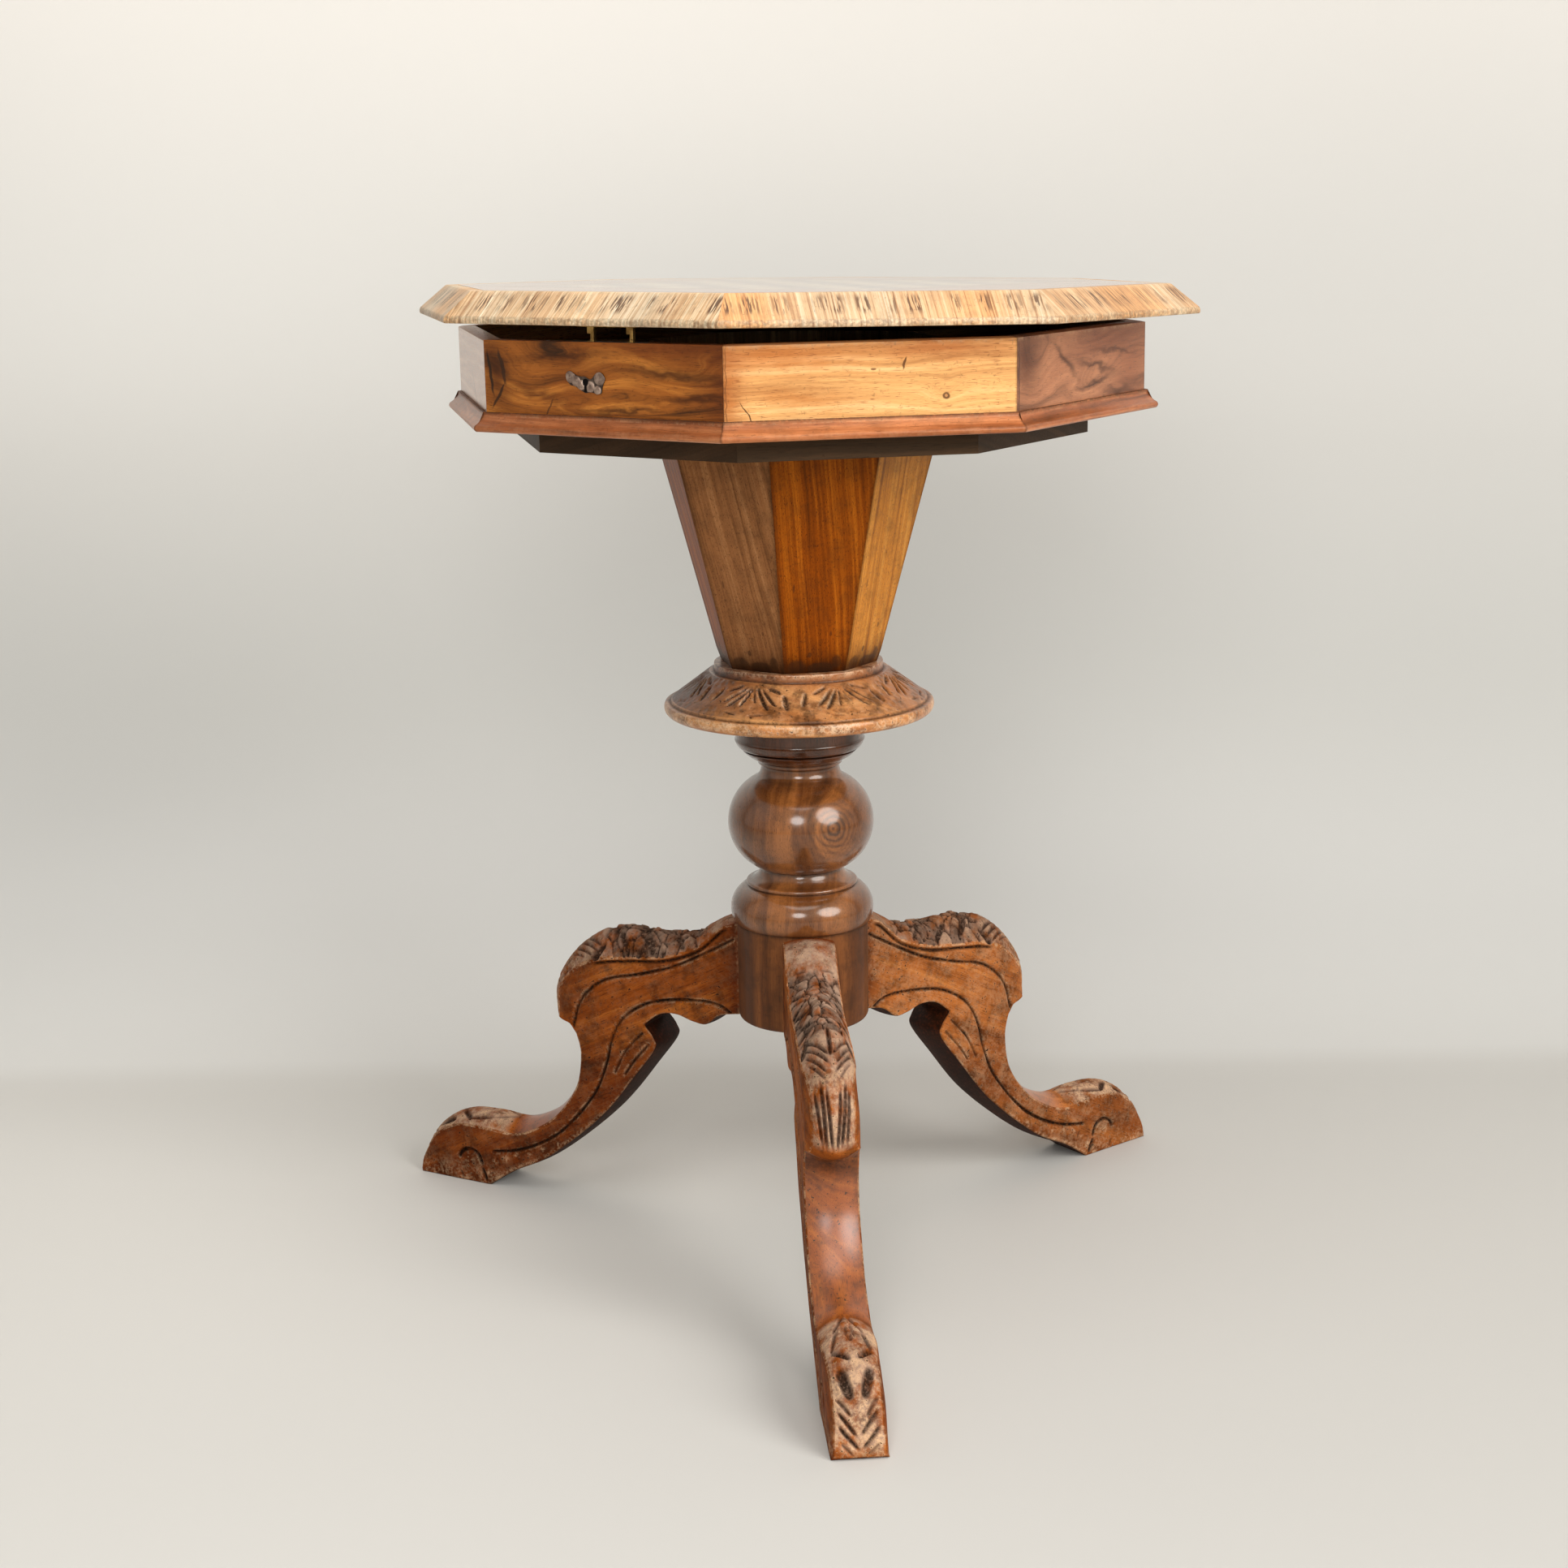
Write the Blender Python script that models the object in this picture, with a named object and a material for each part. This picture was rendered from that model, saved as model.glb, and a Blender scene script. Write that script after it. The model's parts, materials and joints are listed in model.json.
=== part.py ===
"""Octagonal games and work table: hinged lid, trumpet well, turned column and three cabriole legs.

Metres, +Z up, floor at z = 0. The lock panel faces -Y, and the lid hinges along X at the back.
Angles round the column are measured from -Y towards +X.
"""

import math

import bmesh
import bpy
from mathutils import Matrix, Vector

for leftover in list(bpy.data.objects):
    bpy.data.objects.remove(leftover, do_unlink=True)

# Fits
FIT = 0.0003  # gap between pieces that touch
SLIDE_FIT = 0.0006  # play round the lock's moving pieces

# Octagon
SIDES = 8
HALF_SIDE = math.pi / SIDES
ROUND_STEPS = 48  # facets of a turned piece
CURVE_STEPS = 3  # steps between two points of a smooth outline
CROWN_SHARES = (-1, -0.8, -0.45, 0, 0.45, 0.8, 1)  # sections across a rounded leg

# Legs
LEG_TURNS = [math.radians(turn) for turn in (37.9, 161.0, 274.7)]  # from -Y towards +X
LEG_T = 0.037
LEG_REACH = 0.340  # column axis to toe
SOLE_L = 0.068
KNEE_REACH = 0.2125  # column axis to the front of the knee
KNEE_Z = 0.163  # height of the knee's foremost point
LEG_JOIN_H = 0.0715  # underside of the drum to the top of the leg against it
TENON_L = 0.016
TENON_TAIL_W = 0.022
TENON_NECK_W = 0.016
TENON_H = 0.060
TENON_ROOT = 0.006  # length of the tenon that runs into the leg

# Column
DRUM_Z = 0.175  # floor to the underside of the drum
DRUM_R = 0.047
DRUM_H = 0.0725
DRUM_EDGE_R = 0.0035
SHOULDER_R = 0.051
SHOULDER_STEP = 0.0024
SHOULDER_H = 0.0275
BEAD_R = 0.040
BEAD_STEP = 0.0014
BEAD_H = 0.0034
NECK_R = 0.0295
COVE_H = 0.0091
BALL_R = 0.0521
BALL_H = 0.0665
UPPER_NECK_R = 0.0282
UPPER_NECK_H = 0.0092
FILLET_R = 0.030
FILLET_H = 0.0028
CUP_R = 0.0466
CUP_H = 0.0155
RING_R = 0.0456
RING_H = 0.0105
HEAD_R = 0.043
HEAD_H = 0.0077
SPIGOT_R = 0.016

# Collar
COLLAR_H = 0.037
COLLAR_R = 0.0953
COLLAR_NOSE_H = 0.0115
COLLAR_NOSE_IN = 0.006  # how far the underside sits in from the nose
COLLAR_GROOVE = 0.0022
COLLAR_RING_R = 0.0595
COLLAR_RING_H = 0.006
COLLAR_STEP = 0.004  # width of the step round the top ring

# Trumpet
TRUMPET_H = 0.1754
TRUMPET_FOOT_FLATS = 0.1046
TRUMPET_TOP_FLATS = 0.192
STAVE_T = 0.007
WELL_FLOOR_T = 0.014

# Case
CASE_FLATS = 0.440
CASE_WALL = 0.012
CASE_H = 0.0573
FLOOR_T = 0.008
UNDERBOARD_FLATS = 0.371
UNDERBOARD_T = 0.016
MOULDING_H = 0.0122
MOULDING_OUT = 0.0087
MOULDING_NOSE_H = 0.0045
MOULDING_FILLET = 0.0022
RIM_T = 0.005
PARTITION_T = 0.004
PARTITION_DROP = 0.010  # partitions stop this far below the top of the case

# Lid
LID_FLATS = 0.501
LID_T = 0.0198
LID_EDGE_H = 0.0038
LID_BEVEL_RUN = 0.0185
LID_BAND_W = 0.027
LID_GAP = 0.002  # between the case and the closed lid
LID_BACKSET = 0.0075  # centre of the lid, behind the column
LID_AJAR = math.radians(1.13)
BOARD_SIDE = 0.300
BOARD_T = 0.003
LINING_T = 0.0012
LINING_INSET = 0.004

# Hinges
HINGE_L = 0.050
HINGE_SPACING = 0.096
LEAF_T = 0.0016
LEAF_W = 0.011
PIN_R = 0.0012
KNUCKLE_STAND = 0.0005  # case face to the knuckle

# Lock
LOCK_X = 0.003  # middle of the two hooks, from the middle of the panel
LOCK_D = 0.010
LOCK_H = 0.034
LOCK_PROUD = 0.0015
LOCK_PLATE_T = 0.0015
BOLT_END = 0.003  # solid length past each outer notch
BOLT_T = 0.003
BOLT_H = 0.0174
BOLT_TRAVEL = 0.006
HOOK_SPACING = 0.030
HOOK_W = 0.005
HOOK_T = 0.0024
HOOK_L = 0.0118
HOOK_NOTCH = 0.0025
HOOK_NOTCH_H = 0.0045
HOOK_TIP_H = 0.003
TONGUE_L = 0.004
LINK_W = 0.044
LINK_D = 0.009
LINK_T = 0.0012
KEYHOLE_X = -0.011  # from the middle of the panel
KEYHOLE_DROP = 0.0245  # below the top of the case
KEYHOLE_R = 0.0023
KEYHOLE_SLOT_W = 0.0022
KEYHOLE_SLOT_L = 0.006
KEYHOLE_DEPTH = 0.003  # how far it runs into the lock case
ESCUTCHEON_W = 0.030
ESCUTCHEON_H = 0.014
ESCUTCHEON_T = 0.001

# Heights, from the floor up
COLUMN_H = (DRUM_H + SHOULDER_H + BEAD_H + COVE_H + BALL_H + UPPER_NECK_H
            + FILLET_H + CUP_H + RING_H + HEAD_H)
COLLAR_Z = DRUM_Z + COLUMN_H + FIT
TRUMPET_Z = COLLAR_Z + COLLAR_H + FIT
CASE_Z = TRUMPET_Z + TRUMPET_H + FIT
CASE_TOP = CASE_Z + CASE_H
FLOOR_TOP = CASE_Z + FLOOR_T
WELL_FLOOR_TOP = TRUMPET_Z + WELL_FLOOR_T
PARTITION_TOP = CASE_TOP - PARTITION_DROP
LID_Z = CASE_TOP + LID_GAP
LID_TOP = LID_Z + LID_T

# Shares of the octagon
CASE_A = CASE_FLATS / 2  # distance from the axis to a face
CASE_IN_A = CASE_A - CASE_WALL
LID_A = LID_FLATS / 2
LID_CORE_A = LID_A - LID_BAND_W
TRUMPET_FOOT_A = TRUMPET_FOOT_FLATS / 2
TRUMPET_TOP_A = TRUMPET_TOP_FLATS / 2
TRUMPET_SLOPE = (TRUMPET_TOP_A - TRUMPET_FOOT_A) / TRUMPET_H
WELL_TOP_A = TRUMPET_TOP_A - STAVE_T
MITRE_GAP = FIT / 2 / math.cos(HALF_SIDE)

# Hinge axis, in the table's own axes
KNUCKLE_R = LID_GAP / 2 + LEAF_T
HINGE_Y = CASE_A + KNUCKLE_STAND + KNUCKLE_R
HINGE_Z = CASE_TOP + LID_GAP / 2
LEAF_END_Y = HINGE_Y - KNUCKLE_R - LEAF_W

# Lock, across the panel from the middle of the hooks and up from the top of the case
LOCK_Y = -CASE_IN_A + LOCK_PROUD - LOCK_D / 2
HOOKS_X = (-HOOK_SPACING / 2, HOOK_SPACING / 2)
HOOK_TOP = LID_GAP - FIT - LINK_T
HOOK_TIP = HOOK_TOP - HOOK_L
NOTCH_LOW = HOOK_TIP + HOOK_TIP_H
NOTCH_HIGH = NOTCH_LOW + HOOK_NOTCH_H
TONGUE_END = -HOOK_W / 2 + HOOK_NOTCH - SLIDE_FIT - BOLT_TRAVEL  # from its hook, bolt drawn back
BOLT_LEFT = HOOKS_X[0] + TONGUE_END - TONGUE_L - BOLT_END
BOLT_RIGHT = HOOKS_X[1] + HOOK_W / 2 + SLIDE_FIT + BOLT_END
BOLT_TOP = -LOCK_PLATE_T - FIT
BOLT_LOW = BOLT_TOP - BOLT_H
LOCK_LEFT = BOLT_LEFT - FIT - LOCK_PLATE_T
LOCK_RIGHT = BOLT_RIGHT + BOLT_TRAVEL + FIT + LOCK_PLATE_T


def trumpet_a(z):
    """Outer half width across the flats of the trumpet at a height."""
    return TRUMPET_FOOT_A + (z - TRUMPET_Z) * TRUMPET_SLOPE


# Looks
def srgb(red, green, blue):
    """Linear colour of an sRGB colour given as 0 to 255."""
    shares = [channel / 255 for channel in (red, green, blue)]
    return [s / 12.92 if s <= 0.04045 else ((s + 0.055) / 1.055) ** 2.4 for s in shares]


# Colour, roughness and metallic value of each kind of piece
FINISHES = {
    "panel": (srgb(178, 118, 62), 0.35, 0.0),
    "moulding": (srgb(165, 95, 65), 0.35, 0.0),
    "band": (srgb(222, 186, 135), 0.40, 0.0),
    "lid": (srgb(160, 105, 65), 0.35, 0.0),
    "board": (srgb(205, 170, 125), 0.35, 0.0),
    "lining": (srgb(190, 175, 150), 0.85, 0.0),
    "underboard": (srgb(55, 45, 35), 0.70, 0.0),
    "stave": (srgb(152, 92, 40), 0.40, 0.0),
    "inside": (srgb(150, 110, 70), 0.70, 0.0),
    "collar": (srgb(150, 95, 60), 0.35, 0.0),
    "column": (srgb(116, 66, 33), 0.30, 0.0),
    "leg": (srgb(140, 80, 38), 0.40, 0.0),
    "brass": (srgb(176, 140, 80), 0.35, 1.0),
    "escutcheon": (srgb(70, 55, 45), 0.45, 1.0),
    "steel": (srgb(120, 115, 110), 0.40, 1.0),
}


def finish(obj, kind):
    """Gives the object a Principled material of its own."""
    colour, roughness, metallic = FINISHES[kind]
    material = bpy.data.materials.new(obj.name)
    material.use_nodes = True
    shader = material.node_tree.nodes["Principled BSDF"]
    shader.inputs["Base Color"].default_value = (*colour, 1.0)
    shader.inputs["Roughness"].default_value = roughness
    shader.inputs["Metallic"].default_value = metallic
    obj.data.materials.append(material)


# Frames that the pieces hang from
def footprint_centre():
    """Middle of the footprint's box, seen from the column: the toes and the lid reach furthest."""
    corners = [(-LID_A, LID_BACKSET - LID_A), (LID_A, LID_BACKSET + LID_A)]
    for turn in LEG_TURNS:
        for half in (-LEG_T / 2, LEG_T / 2):
            corners.append((LEG_REACH * math.sin(turn) + half * math.cos(turn),
                            -LEG_REACH * math.cos(turn) + half * math.sin(turn)))
    across, along = zip(*corners)
    return (min(across) + max(across)) / 2, (min(along) + max(along)) / 2


def empty(name, location, parent=None):
    frame = bpy.data.objects.new(name, None)
    frame.location = location
    frame.parent = parent
    bpy.context.scene.collection.objects.link(frame)
    return frame


CENTRE_X, CENTRE_Y = footprint_centre()
TABLE = empty("table_axis", (-CENTRE_X, -CENTRE_Y, 0))
LID = empty("lid_pivot", (0, HINGE_Y, HINGE_Z), TABLE)
LID.rotation_euler.x = -LID_AJAR
BOLT = empty("bolt_slide", (LOCK_X, LOCK_Y, CASE_TOP), TABLE)


# Making solids
def placed(name, bm, parent):
    """Object of a mesh that is drawn in the table's axes, hung from one of the frames."""
    if parent is not TABLE:
        bmesh.ops.translate(bm, verts=bm.verts, vec=-parent.location)
    bmesh.ops.recalc_face_normals(bm, faces=bm.faces)
    mesh = bpy.data.meshes.new(name)
    bm.to_mesh(mesh)
    bm.free()
    obj = bpy.data.objects.new(name, mesh)
    obj.parent = parent
    bpy.context.scene.collection.objects.link(obj)
    return obj


def piece(name, bm, kind, parent=TABLE):
    obj = placed(name, bm, parent)
    finish(obj, kind)
    return obj


def turned_piece(name, bm, kind, parent=TABLE):
    obj = piece(name, bm, kind, parent)
    obj.data.shade_smooth()
    obj.data.set_sharp_from_angle(angle=math.radians(40))
    return obj


def helper(name, bm, parent=TABLE):
    """A shape that only cuts or joins."""
    obj = placed(name, bm, parent)
    obj.hide_render = True
    obj.display_type = "WIRE"
    return obj


def combine(obj, other, operation):
    modifier = obj.modifiers.new(other.name, "BOOLEAN")
    modifier.operation = operation
    modifier.object = other


def radial_frame(turn):
    """Axes of an upright plane through the column: outwards, up and across."""
    axes = Matrix(((0, 0, 1, 0), (-1, 0, 0, 0), (0, 1, 0, 0), (0, 0, 0, 1)))
    return Matrix.Rotation(turn, 4, "Z") @ axes


ACROSS = Matrix(((1, 0, 0, 0), (0, 0, 1, 0), (0, 1, 0, 0), (0, 0, 0, 1)))  # outline in X and Z
ALONG = Matrix(((0, 0, 1, 0), (1, 0, 0, 0), (0, 1, 0, 0), (0, 0, 0, 1)))  # outline in Y and Z
FLAT = Matrix()  # outline in X and Y


def extruded(outline, low, high, frame):
    """A flat outline in the frame's first two axes, drawn out along its third."""
    bm = bmesh.new()
    face = bm.faces.new([bm.verts.new(frame @ Vector((u, v, low))) for u, v in outline])
    drawn = bmesh.ops.extrude_face_region(bm, geom=[face])["geom"]
    ends = [element for element in drawn if isinstance(element, bmesh.types.BMVert)]
    bmesh.ops.translate(bm, verts=ends, vec=frame.to_3x3() @ Vector((0, 0, high - low)))
    return bm


def block(low, high):
    corners = [(low[0], low[1]), (high[0], low[1]), (high[0], high[1]), (low[0], high[1])]
    return extruded(corners, low[2], high[2], FLAT)


def spun(profile, steps, ring=False):
    """A profile of radius and height, spun about the column. A ring's profile closes on itself."""
    start = math.pi / steps
    bm = bmesh.new()
    verts = [bm.verts.new((r * math.sin(start), -r * math.cos(start), z)) for r, z in profile]
    pairs = list(zip(verts, verts[1:])) + ([(verts[-1], verts[0])] if ring else [])
    edges = [bm.edges.new(pair) for pair in pairs]
    bmesh.ops.spin(bm, geom=verts + edges, cent=(0, 0, 0), axis=(0, 0, 1), angle=2 * math.pi,
                   steps=steps, use_merge=True)
    bmesh.ops.remove_doubles(bm, verts=bm.verts, dist=1e-6)
    return bm


def octagonal(profile, ring=False):
    """Spun in eight flat sides: the profile gives distances to a side, not to a corner."""
    return spun([(a / math.cos(HALF_SIDE), z) for a, z in profile], SIDES, ring)


def mitred(profile, side):
    """A length of moulding along one side of the octagon, its ends cut on the mitres."""
    frame = radial_frame(side * 2 * HALF_SIDE)
    inverse = frame.inverted()

    def half_length(out):
        return out * math.tan(HALF_SIDE) - MITRE_GAP

    bm = bmesh.new()
    face = bm.faces.new([bm.verts.new(frame @ Vector((u, z, -half_length(u)))) for u, z in profile])
    drawn = bmesh.ops.extrude_face_region(bm, geom=[face])["geom"]
    for vert in [element for element in drawn if isinstance(element, bmesh.types.BMVert)]:
        out, up, _ = inverse @ vert.co
        vert.co = frame @ Vector((out, up, half_length(out)))
    return bm


def moved(bm, along):
    bmesh.ops.translate(bm, verts=bm.verts, vec=along)
    return bm


# Outlines
def arc(start, middle, end, steps=8):
    """Points of the circle through three points, after the first."""
    (ax, ay), (bx, by), (cx, cy) = start, middle, end
    d = 2 * (ax * (by - cy) + bx * (cy - ay) + cx * (ay - by))
    squares = [ax * ax + ay * ay, bx * bx + by * by, cx * cx + cy * cy]
    ux = (squares[0] * (by - cy) + squares[1] * (cy - ay) + squares[2] * (ay - by)) / d
    uy = (squares[0] * (cx - bx) + squares[1] * (ax - cx) + squares[2] * (bx - ax)) / d
    radius = math.hypot(ax - ux, ay - uy)
    first = math.atan2(ay - uy, ax - ux)
    clockwise = d < 0
    sweep = math.atan2(cy - uy, cx - ux) - first
    sweep = sweep % (2 * math.pi) - (2 * math.pi if clockwise else 0)
    turns = [first + sweep * step / steps for step in range(1, steps)]
    return [(ux + radius * math.cos(t), uy + radius * math.sin(t)) for t in turns] + [end]


def turned_profile(base_z, turnings):
    """Radius and height from the axis up. A turning has its end radius, its rise and, where it
    is curved, its radius half way up."""
    points = [(0, base_z)]
    for radius, rise, middle in turnings:
        start = points[-1]
        end = (radius, start[1] + rise)
        if middle is None:
            points.append(end)
        else:
            points += arc(start, (middle, start[1] + rise / 2), end)
    return points


def smooth(points, closed=False):
    """Points along a smooth curve through the given ones (a Catmull-Rom spline)."""
    ends = [points[-1], *points, points[0], points[1]] if closed else [points[0], *points, points[-1]]
    curve = []
    for before, start, end, after in zip(ends, ends[1:], ends[2:], ends[3:]):
        for step in range(CURVE_STEPS):
            t = step / CURVE_STEPS
            curve.append(tuple(
                s + t * (e - b) / 2 + t * t * (b - 2.5 * s + 2 * e - a / 2)
                + t ** 3 * (1.5 * s - 1.5 * e + (a - b) / 2)
                for b, s, e, a in zip(before, start, end, after)))
    return curve if closed else [*curve, points[-1]]


# Column and collar
def tenon_outline(play):
    """Plan of a leg's dovetail, outwards and across, with the given play all round."""
    tail = DRUM_R - TENON_L - play
    root = DRUM_R + TENON_ROOT
    wide, neck = TENON_TAIL_W / 2 + play, TENON_NECK_W / 2 + play
    return [(tail, -wide), (DRUM_R, -neck), (root, -neck), (root, neck), (DRUM_R, neck), (tail, wide)]


def tenon(turn, low, high, play):
    flat = Matrix.Rotation(turn - math.pi / 2, 4, "Z")
    return extruded(tenon_outline(play), low, high, flat)


def make_column():
    shoulder_foot = SHOULDER_R - SHOULDER_STEP
    bead_foot = BEAD_R - BEAD_STEP
    profile = turned_profile(DRUM_Z, (
        (DRUM_R - DRUM_EDGE_R, 0, None),
        (DRUM_R, DRUM_EDGE_R, DRUM_R - (1 - math.cos(math.pi / 6)) * DRUM_EDGE_R),
        (DRUM_R, DRUM_H - DRUM_EDGE_R, None),
        (shoulder_foot, 0, None),
        (BEAD_R, SHOULDER_H, SHOULDER_R),
        (bead_foot, 0, None),
        (bead_foot, BEAD_H, BEAD_R),
        (bead_foot - BEAD_STEP, 0, None),
        (NECK_R, COVE_H, NECK_R + 0.25 * (bead_foot - BEAD_STEP - NECK_R)),
        (UPPER_NECK_R + FILLET_H, BALL_H, BALL_R),
        (UPPER_NECK_R, UPPER_NECK_H, UPPER_NECK_R),
        (FILLET_R, 0, None),
        (FILLET_R, FILLET_H, None),
        (CUP_R, CUP_H, FILLET_R + 0.66 * (CUP_R - FILLET_R)),
        (RING_R, 0, None),
        (RING_R, RING_H, None),
        (HEAD_R, 0, None),
        (HEAD_R, HEAD_H, None),
        (SPIGOT_R, 0, None),
        (SPIGOT_R, COLLAR_H + 2 * FIT + WELL_FLOOR_T, None),
        (0, 0, None),
    ))
    column = turned_piece("turned_column", spun(profile, ROUND_STEPS), "column")
    for number, turn in enumerate(LEG_TURNS, 1):
        socket = tenon(turn, DRUM_Z - TENON_ROOT, DRUM_Z + TENON_H + FIT, FIT)
        combine(column, helper(f"leg_socket_{number}", socket), "DIFFERENCE")


def make_collar():
    bore = SPIGOT_R + FIT
    low, high = COLLAR_Z, COLLAR_Z + COLLAR_H
    nose_top = low + COLLAR_NOSE_H
    underside = (COLLAR_R - COLLAR_NOSE_IN, low)
    nose_end = (COLLAR_R - COLLAR_GROOVE / 2, nose_top - COLLAR_GROOVE)
    profile = [(bore, low), underside]
    profile += arc(underside, (COLLAR_R, (low + nose_top) / 2), nose_end)
    profile += [
        (COLLAR_R - 2 * COLLAR_GROOVE, nose_top - COLLAR_GROOVE),
        (COLLAR_R - 2.5 * COLLAR_GROOVE, nose_top),
        (COLLAR_RING_R + COLLAR_STEP, high - COLLAR_RING_H),
        (COLLAR_RING_R, high - COLLAR_RING_H),
        (COLLAR_RING_R, high),
        (bore, high),
    ]
    turned_piece("carved_collar", spun(profile, ROUND_STEPS, ring=True), "collar")


# Legs
def leg_outline(drum_side):
    """Side of a leg through its middle: outwards, up, and how far its edges fall back from there.

    Points hang from the drum, the knee or the toe.
    """
    arm = [(DRUM_R + out, DRUM_Z + up, fall) for out, up, fall in (
        (0.0130, 0.0680, 0.006), (0.0370, 0.0555, 0.012), (0.0650, 0.0510, 0.018))]
    knee = [(KNEE_REACH + out, KNEE_Z + up, fall) for out, up, fall in (
        (-0.0685, 0.0625, 0.022), (-0.0435, 0.0555, 0.020), (-0.0205, 0.0390, 0.014),
        (-0.0040, 0.0170, 0.010), (0.0, -0.0020, 0.009), (-0.0045, -0.0180, 0.007),
        (-0.0175, -0.0225, 0.006))]
    shin = [(KNEE_REACH + out, KNEE_Z + up, fall) for out, up, fall in (
        (-0.0225, -0.0265, 0.003), (-0.0250, -0.0410, 0.003), (-0.0210, -0.0645, 0.003),
        (-0.0080, -0.0845, 0.0035))]
    foot = [(LEG_REACH + out, up, fall) for out, up, fall in (
        (-0.1180, 0.0645, 0.006), (-0.0930, 0.0550, 0.009), (-0.0650, 0.0558, 0.0095),
        (-0.0360, 0.0525, 0.008), (-0.0120, 0.0370, 0.0055), (-0.0015, 0.0150, 0.0025), (0.0, 0.0, 0.0))]
    heel = [(LEG_REACH + out, up, fall) for out, up, fall in (
        (-SOLE_L, 0.0, 0.0), (-0.0900, 0.0135, 0.0015), (-0.1260, 0.0325, 0.002))]
    calf = [(KNEE_REACH + out, KNEE_Z + up, fall) for out, up, fall in (
        (-0.0465, -0.0905, 0.002), (-0.0795, -0.0510, 0.002), (-0.0970, -0.0275, 0.002),
        (-0.0955, -0.0175, 0.002), (-0.0875, -0.0095, 0.001))]
    arch = [(DRUM_R + out, DRUM_Z + up, fall) for out, up, fall in (
        (0.0650, -0.0120, 0.001), (0.0510, -0.0100, 0.001), (0.0370, -0.0140, 0.0015),
        (0.0250, -0.0145, 0.0015), (0.0130, -0.0055, 0.001))]
    top = smooth([(drum_side, DRUM_Z + LEG_JOIN_H, 0.004), *arm, *knee])
    front = smooth([*shin, *foot])
    back = smooth([*heel, *calf])
    under = smooth([calf[-1], *arch, (drum_side, DRUM_Z - 0.001, 0.0)])
    return top + front + back + under[1:]


def crowned(outline, half, frame):
    """A closed outline drawn out to both sides, falling back towards the edges along a parabola."""
    before, after = outline[:1] + outline[:-1], outline[1:] + outline[-1:]
    lines = [Vector((e[0] - s[0], e[1] - s[1])).normalized() for s, e in zip(before, after)]
    bm = bmesh.new()
    rings = []
    for share in CROWN_SHARES:
        verts = []
        for (out, up, fall), line in zip(outline, lines):
            inset = fall * share ** 2
            point = Vector((out + inset * line.y, up - inset * line.x, share * half))
            verts.append(bm.verts.new(frame @ point))
        rings.append([bm.edges.new(pair) for pair in zip(verts, verts[1:] + verts[:1])])
        if abs(share) == 1:
            bm.faces.new(verts)
    for near, far in zip(rings, rings[1:]):
        bmesh.ops.bridge_loops(bm, edges=near + far)
    return bm


def make_legs():
    half = LEG_T / 2
    drum_side = math.sqrt(DRUM_R ** 2 - half ** 2) - 0.001
    outline = leg_outline(drum_side)
    hollow = [(0, 0), (DRUM_R + FIT, 0), (DRUM_R + FIT, CASE_Z), (0, CASE_Z)]
    drum = helper("drum_hollow", spun(hollow, ROUND_STEPS))
    for number, turn in enumerate(LEG_TURNS, 1):
        leg = piece(f"leg_{number}", crowned(outline, half, radial_frame(turn)), "leg")
        combine(leg, drum, "DIFFERENCE")
        dovetail = tenon(turn, DRUM_Z + FIT, DRUM_Z + TENON_H, 0)
        combine(leg, helper(f"leg_tenon_{number}", dovetail), "UNION")


# Trumpet
def make_trumpet():
    top = TRUMPET_Z + TRUMPET_H
    profile = [(TRUMPET_FOOT_A - STAVE_T, TRUMPET_Z), (TRUMPET_FOOT_A, TRUMPET_Z),
               (TRUMPET_TOP_A, top), (WELL_TOP_A, top)]
    for side in range(SIDES):
        piece(f"trumpet_stave_{side + 1}", mitred(profile, side), "stave")
    inset = STAVE_T + FIT
    floor = piece("well_floor", octagonal([
        (0, TRUMPET_Z), (TRUMPET_FOOT_A - inset, TRUMPET_Z),
        (trumpet_a(WELL_FLOOR_TOP) - inset, WELL_FLOOR_TOP), (0, WELL_FLOOR_TOP)]), "inside")
    bore = spun([(0, COLLAR_Z), (SPIGOT_R + FIT, COLLAR_Z), (SPIGOT_R + FIT, CASE_Z), (0, CASE_Z)],
                ROUND_STEPS)
    combine(floor, helper("spigot_bore", bore), "DIFFERENCE")


# Case
def make_case():
    panel = [(CASE_IN_A, CASE_Z), (CASE_A, CASE_Z), (CASE_A, CASE_TOP), (CASE_IN_A, CASE_TOP)]
    panels = [piece(f"frieze_panel_{side + 1}", mitred(panel, side), "panel") for side in range(SIDES)]
    for side in range(SIDES):
        piece(f"base_moulding_{side + 1}", mitred(moulding_profile(), side), "moulding")
    low, high = CASE_Z - FIT - UNDERBOARD_T, CASE_Z - FIT
    piece("underboard", octagonal([
        (trumpet_a(low) + FIT, low), (UNDERBOARD_FLATS / 2, low),
        (UNDERBOARD_FLATS / 2, high), (trumpet_a(high) + FIT, high)], ring=True), "underboard")
    wall = CASE_IN_A - FIT
    piece("floor_board", octagonal([
        (WELL_TOP_A, CASE_Z), (wall, CASE_Z), (wall, FLOOR_TOP), (WELL_TOP_A, FLOOR_TOP)],
        ring=True), "inside")
    return panels


def moulding_profile():
    """Rounded nose below, a cove above it and a fillet against the panel."""
    back, nose = CASE_A + FIT, CASE_A + MOULDING_OUT
    nose_z, top = CASE_Z + MOULDING_NOSE_H, CASE_Z + MOULDING_H
    soft = MOULDING_NOSE_H / 3
    lip = CASE_A + MOULDING_FILLET
    under, over = (nose - soft, CASE_Z), (nose - soft, nose_z)
    cove = arc(over, (lip + 0.25 * (nose - lip), nose_z + 0.4 * (top - nose_z)),
               (lip, top - MOULDING_FILLET), 5)
    return [(back, CASE_Z), under, *arc(under, (nose, CASE_Z + MOULDING_NOSE_H / 2), over, 5),
            *cove, (lip, top), (back, top)]


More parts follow.
